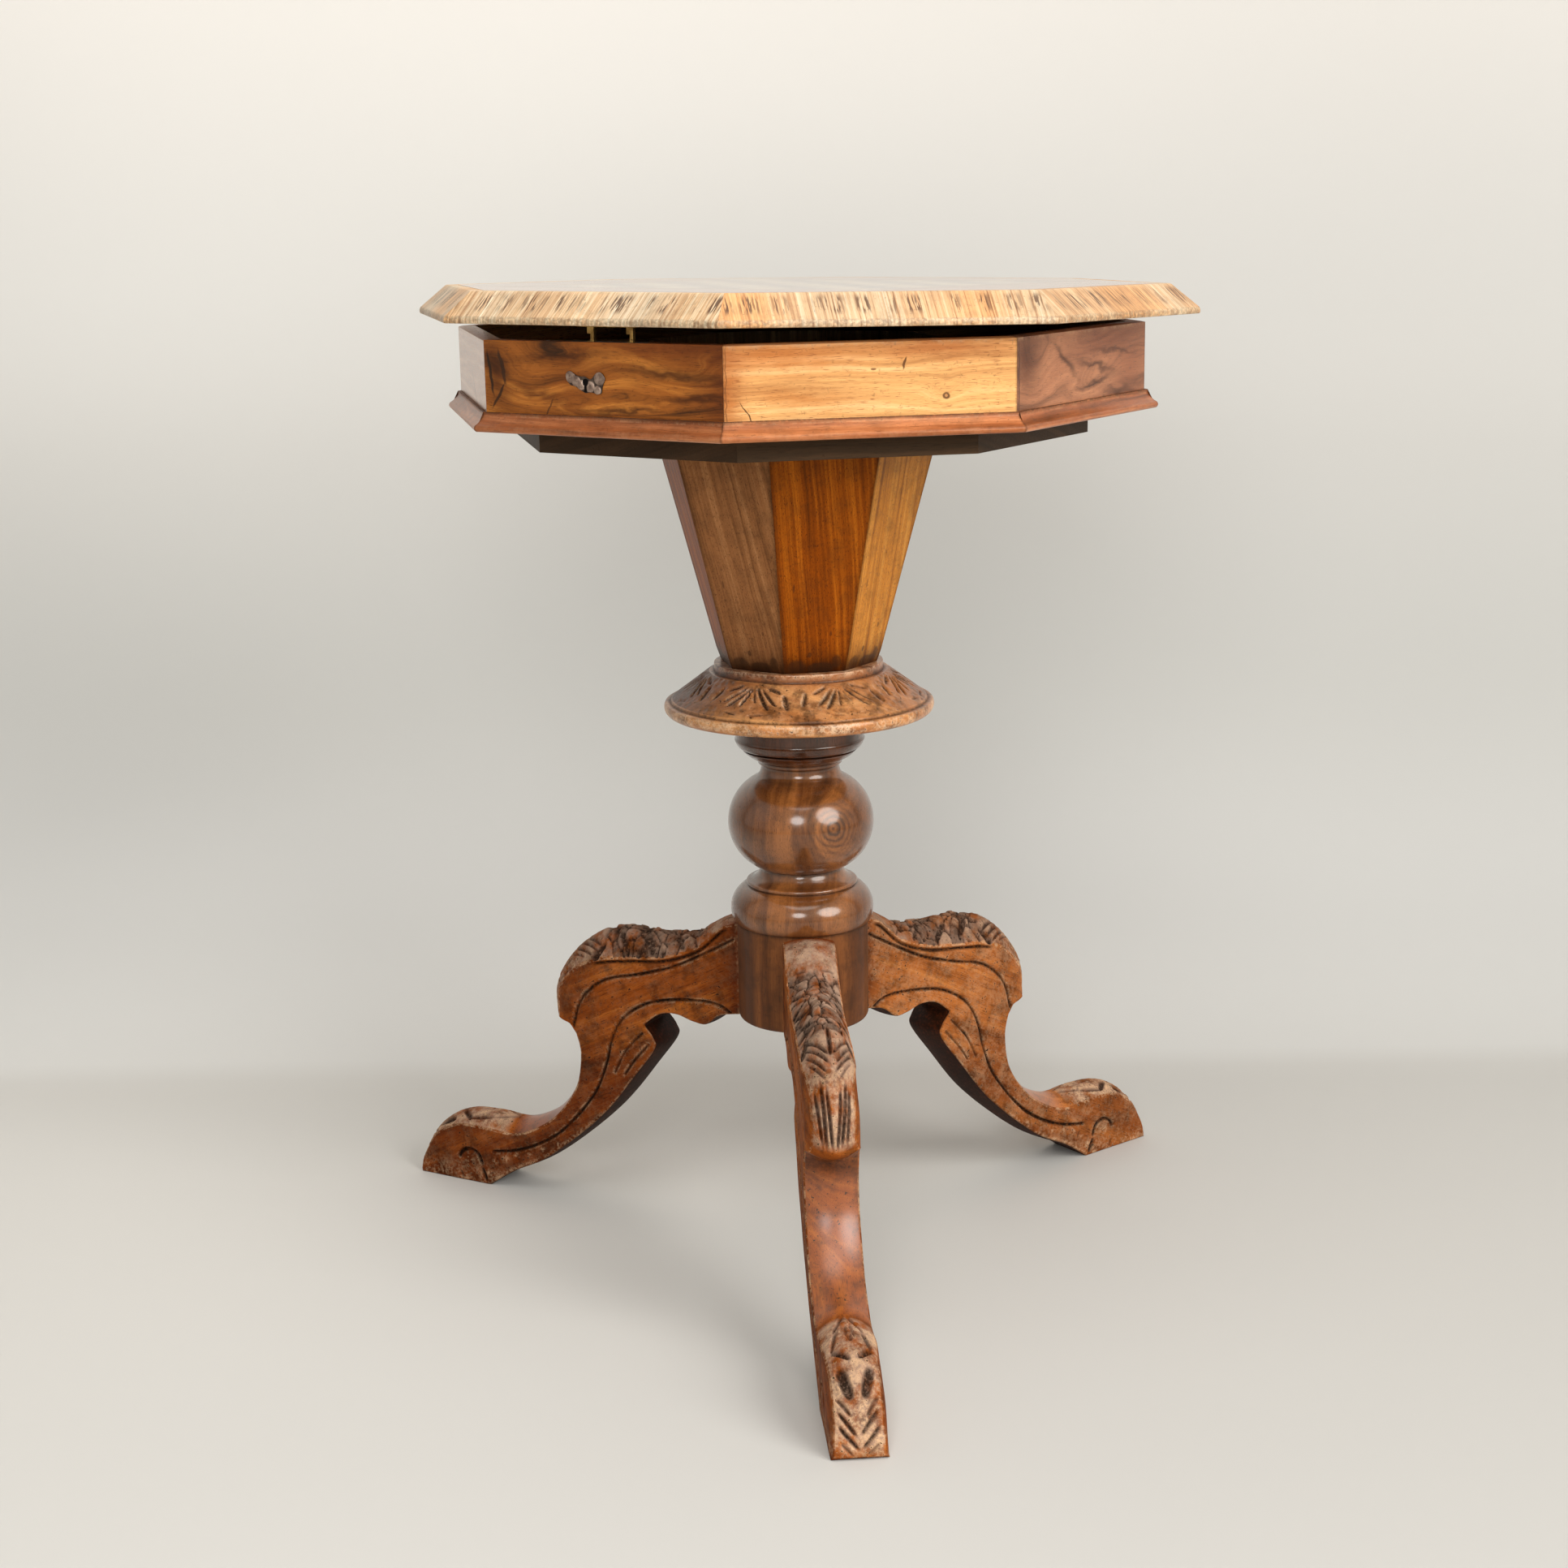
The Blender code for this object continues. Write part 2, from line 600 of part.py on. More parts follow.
def make_compartments():
    low = FLOOR_TOP + FIT
    rim = WELL_TOP_A + RIM_T
    piece("well_rim", octagonal([
        (WELL_TOP_A, low), (rim, low), (rim, PARTITION_TOP), (WELL_TOP_A, PARTITION_TOP)],
        ring=True), "inside")
    half = PARTITION_T / 2
    start = rim / math.cos(HALF_SIDE) + FIT
    end = (CASE_IN_A - FIT) / math.cos(HALF_SIDE) - half * math.tan(HALF_SIDE)
    upright = [(start, low), (end, low), (end, PARTITION_TOP), (start, PARTITION_TOP)]
    for side in range(SIDES):
        corner = radial_frame((2 * side + 1) * HALF_SIDE)
        piece(f"partition_{side + 1}", extruded(upright, -half, half, corner), "inside")


# Lid
def make_lid():
    back = Vector((0, LID_BACKSET, 0))
    core = piece("lid_core", moved(octagonal([
        (0, LID_Z), (LID_CORE_A, LID_Z), (LID_CORE_A, LID_TOP), (0, LID_TOP)]), back), "lid", LID)
    inner = LID_CORE_A + FIT
    band = [(inner, LID_Z), (LID_A, LID_Z), (LID_A, LID_Z + LID_EDGE_H),
            (LID_A - LID_BEVEL_RUN, LID_TOP), (inner, LID_TOP)]
    for side in range(SIDES):
        piece(f"lid_band_{side + 1}", moved(mitred(band, side), back), "band", LID)

    half, floor = BOARD_SIDE / 2, LID_TOP - BOARD_T
    board = block((-half, LID_BACKSET - half, floor), (half, LID_BACKSET + half, LID_TOP))
    piece("games_board", board, "board", LID)
    half += FIT
    recess = block((-half, LID_BACKSET - half, floor - FIT),
                   (half, LID_BACKSET + half, LID_TOP + BOARD_T))
    combine(core, helper("board_recess", recess, LID), "DIFFERENCE")

    sheet = CASE_IN_A - LINING_INSET
    high = LID_Z - FIT
    piece("lid_lining", octagonal([
        (0, high - LINING_T), (sheet, high - LINING_T), (sheet, high), (0, high)]), "lining", LID)
    return core


# Hinges
def knuckle_outline(side):
    """A leaf's barrel round the hinge axis with the stub of its leaf, in Y and Z."""
    stub = HINGE_Y - KNUCKLE_R - LEAF_W / 3
    inside = side * LID_GAP / 2
    meet = HINGE_Y - math.sqrt(KNUCKLE_R ** 2 - (LID_GAP / 2) ** 2)
    crown = (HINGE_Y, HINGE_Z + side * KNUCKLE_R)
    barrel = arc(crown, (HINGE_Y + KNUCKLE_R, HINGE_Z), (meet, HINGE_Z + inside), 14)
    return [(stub, HINGE_Z + inside), (stub, crown[1]), crown, *barrel]


def make_leaf(name, middle, side, parent, spans):
    """A leaf above (1) or below (-1) the hinge axis, with a knuckle on each span of its length."""
    low, high = sorted((HINGE_Z + side * LID_GAP / 2, HINGE_Z + side * KNUCKLE_R))
    plate = block((middle - HINGE_L / 2, LEAF_END_Y, low),
                  (middle + HINGE_L / 2, HINGE_Y - KNUCKLE_R - FIT, high))
    leaf = piece(name, plate, "brass", parent)
    for number, (start, end) in enumerate(spans, 1):
        barrel = extruded(knuckle_outline(side), middle + start, middle + end, ALONG)
        combine(leaf, helper(f"{name}_knuckle_{number}", barrel, parent), "UNION")
    return leaf


def hinge_pin(middle, radius, reach):
    outline = [(HINGE_Y + radius * math.cos(t), HINGE_Z + radius * math.sin(t))
               for t in (step * math.pi / 8 for step in range(16))]
    return extruded(outline, middle - reach, middle + reach, ALONG)


def make_hinges(back_panel, lid_core):
    third = HINGE_L / 6
    half = HINGE_L / 2
    for name, middle in (("left", -HINGE_SPACING / 2), ("right", HINGE_SPACING / 2)):
        lid_leaf = make_leaf(f"hinge_lid_leaf_{name}", middle, 1, LID, [(FIT - third, third - FIT)])
        bore = helper(f"hinge_bore_{name}", hinge_pin(middle, PIN_R + FIT, half), LID)
        combine(lid_leaf, bore, "DIFFERENCE")
        spans = [(-half, -third), (third, half)]
        case_leaf = make_leaf(f"hinge_case_leaf_{name}", middle, -1, TABLE, spans)
        pin = helper(f"hinge_pin_{name}", hinge_pin(middle, PIN_R, half - third / 2))
        combine(case_leaf, pin, "UNION")
        left, right = middle - half - FIT, middle + half + FIT
        inner, depth = LEAF_END_Y - FIT, LEAF_T + FIT
        case_bed = block((left, inner, CASE_TOP - depth), (right, HINGE_Y, LID_Z))
        combine(back_panel, helper(f"hinge_case_bed_{name}", case_bed), "DIFFERENCE")
        lid_bed = block((left, inner, CASE_TOP), (right, HINGE_Y + KNUCKLE_R + FIT, LID_Z + depth))
        combine(lid_core, helper(f"hinge_lid_bed_{name}", lid_bed, LID), "DIFFERENCE")


# Lock
def lock_point(across, up):
    """A point of the lock's own drawing in X and Z."""
    return LOCK_X + across, CASE_TOP + up


def lock_block(left, right, depth, low, high):
    return block((LOCK_X + left, LOCK_Y - depth / 2, CASE_TOP + low),
                 (LOCK_X + right, LOCK_Y + depth / 2, CASE_TOP + high))


def make_lock(front_panel):
    bed = block((LOCK_X + LOCK_LEFT - FIT, LOCK_Y - LOCK_D / 2 - FIT, CASE_TOP - LOCK_H - FIT),
                (LOCK_X + LOCK_RIGHT + FIT, LOCK_Y + LOCK_D, CASE_TOP + LOCK_PLATE_T))
    combine(front_panel, helper("lock_bed", bed), "DIFFERENCE")
    case = piece("lock_case", lock_block(LOCK_LEFT, LOCK_RIGHT, LOCK_D, -LOCK_H, 0), "steel")
    hollow = lock_block(LOCK_LEFT + LOCK_PLATE_T, LOCK_RIGHT - LOCK_PLATE_T, BOLT_T + 2 * FIT,
                        BOLT_LOW - FIT, -LOCK_PLATE_T)
    combine(case, helper("lock_hollow", hollow), "DIFFERENCE")
    for number, hook in enumerate(HOOKS_X, 1):
        reach = HOOK_W / 2 + SLIDE_FIT
        slot = lock_block(hook - reach, hook + reach, HOOK_T + 2 * SLIDE_FIT, BOLT_TOP - FIT, LOCK_PLATE_T)
        combine(case, helper(f"hook_slot_{number}", slot), "DIFFERENCE")
    make_bolt()
    make_link_plate()
    make_escutcheon(front_panel, case)


def make_bolt():
    """A plate with a deep notch for each hook and a tongue that slides into the hook's own notch."""
    floor = HOOK_TIP - 2 * SLIDE_FIT
    outline = [(BOLT_LEFT, BOLT_LOW), (BOLT_LEFT, BOLT_TOP)]
    for hook in HOOKS_X:
        end = hook + TONGUE_END
        root = end - TONGUE_L
        wall = hook + HOOK_W / 2 + SLIDE_FIT
        low, high = NOTCH_LOW + SLIDE_FIT, NOTCH_HIGH - SLIDE_FIT
        outline += [(root, BOLT_TOP), (root, high), (end, high), (end, low), (root, low),
                    (root, floor), (wall, floor), (wall, BOLT_TOP)]
    outline += [(BOLT_RIGHT, BOLT_TOP), (BOLT_RIGHT, BOLT_LOW)]
    plate = [lock_point(*point) for point in outline]
    bolt = extruded(plate, LOCK_Y - BOLT_T / 2, LOCK_Y + BOLT_T / 2, ACROSS)
    piece("lock_bolt", bolt, "steel", BOLT)


def make_link_plate():
    half = LINK_W / 2
    link = piece("link_plate", lock_block(-half, half, LINK_D, HOOK_TOP, HOOK_TOP + LINK_T), "brass", LID)
    left, right = -HOOK_W / 2, HOOK_W / 2
    notch = left + HOOK_NOTCH
    top = HOOK_TOP + LINK_T / 2
    for number, hook in enumerate(HOOKS_X, 1):
        outline = [(left, top), (left, NOTCH_HIGH), (notch, NOTCH_HIGH), (notch, NOTCH_LOW),
                   (left, NOTCH_LOW), (left, HOOK_TIP), (right, HOOK_TIP), (right, top)]
        prong = extruded([lock_point(hook + across, up) for across, up in outline],
                         LOCK_Y - HOOK_T / 2, LOCK_Y + HOOK_T / 2, ACROSS)
        combine(link, helper(f"link_hook_{number}", prong, LID), "UNION")


def make_escutcheon(front_panel, lock_case):
    wide, tall = ESCUTCHEON_W / 2, ESCUTCHEON_H / 2
    # Shares of the half width and half height: two raised scrolls either side of a low middle
    scrolls = [(1.0, 0.35), (0.78, 0.95), (0.42, 0.45), (0.0, 0.62), (-0.42, 0.45), (-0.78, 0.95),
               (-1.0, 0.35), (-0.72, -0.25), (-0.35, -0.7), (0.0, -1.0), (0.35, -0.7), (0.72, -0.25)]
    height = CASE_TOP - KEYHOLE_DROP
    outline = smooth([(KEYHOLE_X + wide * u, height + tall * v) for u, v in scrolls], closed=True)
    face = -CASE_A - FIT
    plate = piece("keyhole_escutcheon", extruded(outline, face - ESCUTCHEON_T, face, ACROSS), "escutcheon")
    half = KEYHOLE_SLOT_W / 2
    slot_top = -math.sqrt(KEYHOLE_R ** 2 - half ** 2)
    keyhole = [(-half, -KEYHOLE_SLOT_L), (half, -KEYHOLE_SLOT_L), (half, slot_top),
               *arc((half, slot_top), (0, KEYHOLE_R), (-half, slot_top), 12)]
    outline = [(KEYHOLE_X + u, height + v) for u, v in keyhole]
    lock_front = LOCK_Y - LOCK_D / 2
    hole = helper("keyhole", extruded(outline, face - 2 * ESCUTCHEON_T, lock_front + KEYHOLE_DEPTH, ACROSS))
    for drilled in (plate, front_panel, lock_case):
        combine(drilled, hole, "DIFFERENCE")


make_column()
make_collar()
make_legs()
make_trumpet()
frieze = make_case()
make_compartments()
lid_board = make_lid()
make_hinges(frieze[SIDES // 2], lid_board)
make_lock(frieze[0])
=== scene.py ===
import json
import math

import bpy
import numpy as np
from mathutils import Matrix, Vector


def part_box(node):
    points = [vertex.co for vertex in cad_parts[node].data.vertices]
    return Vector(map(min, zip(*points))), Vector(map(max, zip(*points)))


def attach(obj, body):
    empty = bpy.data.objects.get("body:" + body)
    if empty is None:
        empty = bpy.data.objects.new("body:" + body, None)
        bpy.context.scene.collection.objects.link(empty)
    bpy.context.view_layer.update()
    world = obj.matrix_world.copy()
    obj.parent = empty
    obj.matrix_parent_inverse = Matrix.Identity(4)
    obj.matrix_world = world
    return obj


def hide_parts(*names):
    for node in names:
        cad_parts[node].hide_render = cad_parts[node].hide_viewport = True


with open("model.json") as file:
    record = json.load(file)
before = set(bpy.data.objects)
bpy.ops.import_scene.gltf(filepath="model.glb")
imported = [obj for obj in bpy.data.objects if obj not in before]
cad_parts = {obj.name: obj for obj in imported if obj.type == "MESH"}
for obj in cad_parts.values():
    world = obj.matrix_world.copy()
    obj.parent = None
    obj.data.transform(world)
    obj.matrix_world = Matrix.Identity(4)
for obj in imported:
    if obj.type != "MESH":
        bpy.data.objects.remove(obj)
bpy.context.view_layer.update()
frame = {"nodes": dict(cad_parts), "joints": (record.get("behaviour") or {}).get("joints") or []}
nodes = frame["nodes"]
print("frame loaded:", len(nodes), "nodes")

columnLow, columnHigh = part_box("turned_column")
axis = np.array([(columnLow.x + columnHigh.x) / 2, (columnLow.y + columnHigh.y) / 2, 0.0])
drumZ = columnLow.z
caseLow, caseHigh = (corner.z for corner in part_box("frieze_panel_3"))
collarLow, collarHigh = (corner.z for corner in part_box("carved_collar"))
trumpetLow, trumpetHigh = (corner.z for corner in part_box("trumpet_stave_1"))
lidJoint = next(joint for joint in frame["joints"] if joint["name"] == "lid_hinge")
lidAjar = math.radians(-lidJoint["range_deg"][0])  # the lid stands open by this much at rest
lidHinge = np.array([0.0, 0.2231, caseHigh + 0.001]) + axis
sides = 8
mitre = math.tan(math.pi / sides)
chance = np.random.default_rng(1870)  # small irregularities of hand work


# Lines and surfaces

def smoothLine(points, steps, closed=False):
    # Catmull-Rom: every stretch is a cubic whose end slopes come from the neighbouring points
    p = np.asarray(points, float)
    ends = np.vstack([p[-1:], p, p[:2]] if closed else [p[:1], p, p[-1:]])
    before, start, end, after = ends[:-3], ends[1:-2], ends[2:-1], ends[3:]
    t = np.arange(steps)[:, None, None] / steps
    curve = (start + t * (end - before) / 2 + t ** 2 * (before - 2.5 * start + 2 * end - after / 2)
             + t ** 3 * (1.5 * (start - end) + (after - before) / 2))
    curve = curve.transpose(1, 0, 2).reshape(-1, p.shape[1])
    return curve if closed else np.vstack([curve, p[-1:]])


def lengthAlong(line):
    steps = np.linalg.norm(np.diff(line[:, :2], axis=0), axis=1)
    return np.concatenate([[0.0], np.cumsum(steps)])


def pointsAt(line, lengths, wanted):
    return np.stack([np.interp(wanted, lengths, column) for column in line.T], 1)


def arcThrough(start, middle, end, steps):
    # circle through three points, walked from the first to the last; nearly straight ones give a line
    (ax, ay), (bx, by), (cx, cy) = start, middle, end
    area = 2 * (ax * (by - cy) + bx * (cy - ay) + cx * (ay - by))
    share = np.linspace(0, 1, steps + 1)[1:]
    if abs(area) < 1e-9:
        return np.stack([ax + share * (cx - ax), ay + share * (cy - ay)], 1)
    a2, b2, c2 = ax * ax + ay * ay, bx * bx + by * by, cx * cx + cy * cy
    ux = (a2 * (by - cy) + b2 * (cy - ay) + c2 * (ay - by)) / area
    uy = (a2 * (cx - bx) + b2 * (ax - cx) + c2 * (bx - ax)) / area
    first, mid, last = (math.atan2(y - uy, x - ux) for x, y in (start, middle, end))
    turn = (last - first) % math.tau
    if (mid - first) % math.tau > turn:
        turn -= math.tau
    radius = math.hypot(ax - ux, ay - uy)
    return np.stack([ux + radius * np.cos(first + share * turn), uy + radius * np.sin(first + share * turn)], 1)


def softCorners(outline, radius, steps=4):
    # each corner of a closed outline gives way to a quadratic curve between points at the radius from it
    p = np.asarray(outline, float)
    before, after = np.roll(p, 1, 0) - p, np.roll(p, -1, 0) - p
    lengthBefore = np.linalg.norm(before, axis=1, keepdims=True)
    lengthAfter = np.linalg.norm(after, axis=1, keepdims=True)
    start = p + before / lengthBefore * np.minimum(radius, lengthBefore * 0.45)
    end = p + after / lengthAfter * np.minimum(radius, lengthAfter * 0.45)
    t = np.linspace(0, 1, steps)[:, None, None]
    curve = (1 - t) ** 2 * start + 2 * t * (1 - t) * p + t ** 2 * end
    return curve.transpose(1, 0, 2).reshape(-1, 2)


def evenOutline(outline, spacing):
    # a closed outline with points added so that none are further apart than the spacing
    closed = np.vstack([outline, outline[:1]])
    lengths = lengthAlong(closed)
    extra = np.arange(0, lengths[-1], spacing)
    wanted = np.unique(np.round(np.concatenate([lengths[:-1], extra]), 7))
    keep = np.concatenate([[True], np.diff(wanted) > spacing * 0.15])
    return pointsAt(closed, lengths, wanted[keep])


def buildPiece(name, points, body, attributes=None, ring=False, caps=False, sharp=35.0):
    # points is a grid, rows by columns; columns close on themselves, rows do too where ring is set,
    # and caps close the first and last rows with a fan round their middle
    rows, columns = points.shape[:2]
    index = np.arange(rows * columns).reshape(rows, columns)
    wide = np.concatenate([index, index[:, :1]], 1)
    if ring:
        wide = np.concatenate([wide, wide[:1]], 0)
    quads = np.stack([wide[:-1, :-1], wide[1:, :-1], wide[1:, 1:], wide[:-1, 1:]], -1).reshape(-1, 4)
    verts = points.reshape(-1, 3)
    extra = {}
    triangles = np.zeros((0, 3), int)
    if caps:
        middles = np.stack([points[0].mean(0), points[-1].mean(0)])
        first, last = len(verts), len(verts) + 1
        verts = np.vstack([verts, middles])
        around = np.roll(index, -1, 1)
        triangles = np.vstack([
            np.stack([np.full(columns, first), index[0], around[0]], 1),
            np.stack([np.full(columns, last), around[-1], index[-1]], 1)])
        for key, values in (attributes or {}).items():
            extra[key] = np.stack([values[0].mean(0), values[-1].mean(0)])
    a, b, c, d = (verts[quads[:, i]] for i in range(4))
    volume = np.einsum("ij,ij->", a, np.cross(b, c)) + np.einsum("ij,ij->", a, np.cross(c, d))
    if len(triangles):
        a, b, c = (verts[triangles[:, i]] for i in range(3))
        volume += np.einsum("ij,ij->", a, np.cross(b, c))
    if volume < 0:
        quads, triangles = quads[:, ::-1], triangles[:, ::-1]
    mesh = bpy.data.meshes.new(name)
    corners = np.concatenate([quads.ravel(), triangles.ravel()])
    counts = np.concatenate([np.full(len(quads), 4), np.full(len(triangles), 3)])
    mesh.vertices.add(len(verts))
    mesh.loops.add(len(corners))
    mesh.polygons.add(len(counts))
    mesh.vertices.foreach_set("co", verts.astype(np.float32).ravel())
    mesh.loops.foreach_set("vertex_index", corners.astype(np.int32))
    mesh.polygons.foreach_set("loop_start", np.concatenate([[0], np.cumsum(counts)[:-1]]).astype(np.int32))
    mesh.polygons.foreach_set("use_smooth", np.ones(len(counts), bool))
    mesh.update(calc_edges=True)
    mesh.set_sharp_from_angle(angle=math.radians(sharp))
    for key, values in (attributes or {}).items():
        flat = values.reshape(rows * columns, -1)
        if caps:
            flat = np.vstack([flat, extra[key].reshape(2, -1)])
        vector = flat.shape[1] == 3
        layer = mesh.attributes.new(key, "FLOAT_VECTOR" if vector else "FLOAT", "POINT")
        layer.data.foreach_set("vector" if vector else "value", flat.astype(np.float32).ravel())
    piece = bpy.data.objects.new(name, mesh)
    bpy.context.scene.collection.objects.link(piece)
    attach(piece, body)
    return piece


def lineCut(at, line, width):
    # 1 on a drawn line, falling off like a bell curve to either side
    start, step = line[:-1], np.diff(line, axis=0)
    share = np.einsum("nmk,mk->nm", at[:, None] - start, step) / (step ** 2).sum(1)
    nearest = start + np.clip(share, 0, 1)[..., None] * step
    away = np.linalg.norm(at[:, None] - nearest, axis=2).min(1)
    return np.exp(-(away / width) ** 2)


def gouges(at, strokes):
    # each stroke is a lens from start to end: its width swells to the middle, its floor is a parabola
    depth = np.zeros(len(at))
    for startA, startB, endA, endB, width, deep in strokes:
        start, step = np.array([startA, startB]), np.array([endA - startA, endB - startB])
        length = np.hypot(*step)
        share = (at - start) @ step / length ** 2
        away = (at - start) @ np.array([-step[1], step[0]]) / length
        half = width / 2 * np.sqrt(np.clip(4 * share * (1 - share), 1e-6, 1)) ** 0.8
        floor = np.where((share > 0) & (share < 1), deep * np.clip(1 - (away / half) ** 2, 0, 1), 0)
        depth = np.maximum(depth, floor * np.clip(6 * share, 0, 1) * np.clip(6 * (1 - share), 0, 1))
    return depth


def bothSides(strokes, shake=0.0):
    # strokes on one half of a face and, a little unevenly, on the other
    table = np.array(strokes, float)
    other = table * np.array([1, -1, 1, -1, 1, 1])
    jitter = chance.normal(0, shake, (2 * len(table), 4)) if shake else 0
    table = np.vstack([table, other])
    table[:, :4] += jitter
    return table


def ripple(at, size, amount):
    # slow waves of an uneven hand-finished surface: a few sines of different lengths and directions
    turns = np.array([(1.0, 0.3, 0.5), (-0.4, 1.1, 0.7), (0.6, -0.8, 1.2), (1.3, 0.9, -0.6)])
    return amount * np.sin(at @ turns.T * (math.tau / size) + np.array([0.3, 1.9, 4.1, 2.7])).mean(-1)


def cloudy(at, size, heights):
    # value noise: random heights at the crossings of a square net, eased between them
    cell = at / size
    base = np.floor(cell).astype(int)
    ease = (cell - base) ** 2 * (3 - 2 * (cell - base))
    a, b, c, d = (heights[(base[:, 0] + i) % len(heights), (base[:, 1] + j) % len(heights)]
                  for i, j in ((0, 0), (1, 0), (0, 1), (1, 1)))
    low, high = a + (b - a) * ease[:, 0], c + (d - c) * ease[:, 0]
    return low + (high - low) * ease[:, 1]


# Shader nodes

def rgb(red, green, blue):
    shares = np.array([red, green, blue]) / 255
    linear = np.where(shares <= 0.04045, shares / 12.92, ((shares + 0.055) / 1.055) ** 2.4)
    return (*(float(x) for x in linear), 1.0)


def put(tree, kind, inputs=None, **settings):
    node = tree.nodes.new(kind if kind.startswith("Node") else "ShaderNode" + kind)
    for key, value in settings.items():
        setattr(node, key, value)
    for key, value in (inputs or {}).items():
        if isinstance(value, bpy.types.NodeSocket):
            tree.links.new(value, node.inputs[key])
        else:
            node.inputs[key].default_value = value
    return node


def maths(tree, operation, *values):
    return put(tree, "Math", dict(enumerate(values)), operation=operation).outputs[0]


def blend(tree, share, first, second, kind="MIX"):
    node = put(tree, "Mix", {0: share, 6: first, 7: second}, data_type="RGBA", blend_type=kind)
    return node.outputs[2]


def between(tree, value, low, high, start=0.0, end=1.0):
    return put(tree, "MapRange", {0: value, 1: low, 2: high, 3: start, 4: end},
               interpolation_type="SMOOTHSTEP").outputs[0]


def noise(tree, vector, stretch, detail=2.0, roughness=0.5):
    placed = put(tree, "Mapping", {"Vector": vector, "Scale": stretch}).outputs[0]
    return put(tree, "TexNoise", {"Vector": placed, "Scale": 1.0, "Detail": detail,
                                  "Roughness": roughness}).outputs[0]


def newGroup(name, inputs, outputs):
    tree = bpy.data.node_groups.new(name, "ShaderNodeTree")
    for label, kind in inputs:
        tree.interface.new_socket(label, in_out="INPUT", socket_type="NodeSocket" + kind)
    for label, kind in outputs:
        tree.interface.new_socket(label, in_out="OUTPUT", socket_type="NodeSocket" + kind)
    return tree, tree.nodes.new("NodeGroupInput").outputs, tree.nodes.new("NodeGroupOutput").inputs


def useGroup(tree, group, inputs):
    node = tree.nodes.new("ShaderNodeGroup")
    node.node_tree = group
    for key, value in inputs.items():
        if isinstance(value, bpy.types.NodeSocket):
            tree.links.new(value, node.inputs[key])
        else:
            node.inputs[key].default_value = value
    return node.outputs


def makeGrainGroup():
    # wood: bands that wander along the grain, fine fibres and short pores. Place has the grain along x.
    tree, given, out = newGroup("woodGrain", [
        ("Place", "Vector"), ("Pale", "Color"), ("Mid", "Color"), ("Dark", "Color"),
        ("Lines", "Float"), ("Figure", "Float"), ("Contrast", "Float"), ("Pores", "Float"), ("Swirl", "Float")],
        [("Colour", "Color"), ("Height", "Float"), ("Band", "Float")])
    place = given["Place"]
    drift = noise(tree, place, (6, 24, 24), 3, 0.55)
    split = put(tree, "SeparateXYZ", {0: place}).outputs
    across = maths(tree, "ADD", split[2], maths(tree, "MULTIPLY", split[1], 0.45))
    wander = maths(tree, "MULTIPLY_ADD", maths(tree, "SUBTRACT", drift, 0.5), given["Figure"], given["Swirl"])
    ring = maths(tree, "MULTIPLY_ADD", across, given["Lines"], wander)
    lane = put(tree, "CombineXYZ", {0: maths(tree, "MULTIPLY", split[0], 5.0), 1: ring, 2: 0.37}).outputs[0]
    band = noise(tree, lane, (1, 1, 1), 4, 0.62)
    fibre = noise(tree, place, (45, 1000, 1000), 2, 0.6)
    pore = between(tree, noise(tree, place, (130, 2400, 2400), 1, 0.5), 0.60, 0.70)
    tone = blend(tree, between(tree, band, 0.46, 0.72), given["Mid"], given["Pale"])
    shade = maths(tree, "MULTIPLY", between(tree, band, 0.50, 0.26), given["Contrast"])
    tone = blend(tree, shade, tone, given["Dark"])
    light = maths(tree, "MULTIPLY", maths(tree, "MULTIPLY_ADD", fibre, 0.40, 0.80),
                  maths(tree, "MULTIPLY_ADD", drift, 0.5, 0.75))
    tone = blend(tree, 1.0, tone, put(tree, "CombineColor", {0: light, 1: light, 2: light}).outputs[0], "MULTIPLY")
    poreShare = maths(tree, "MULTIPLY", pore, given["Pores"])
    tone = blend(tree, poreShare, tone, blend(tree, 0.75, tone, given["Dark"], "MULTIPLY"))
    height = maths(tree, "SUBTRACT", maths(tree, "MULTIPLY_ADD", band, 0.4, fibre), poreShare)
    for label, value in (("Colour", tone), ("Height", height), ("Band", band)):
        tree.links.new(value, out[label])
    return tree


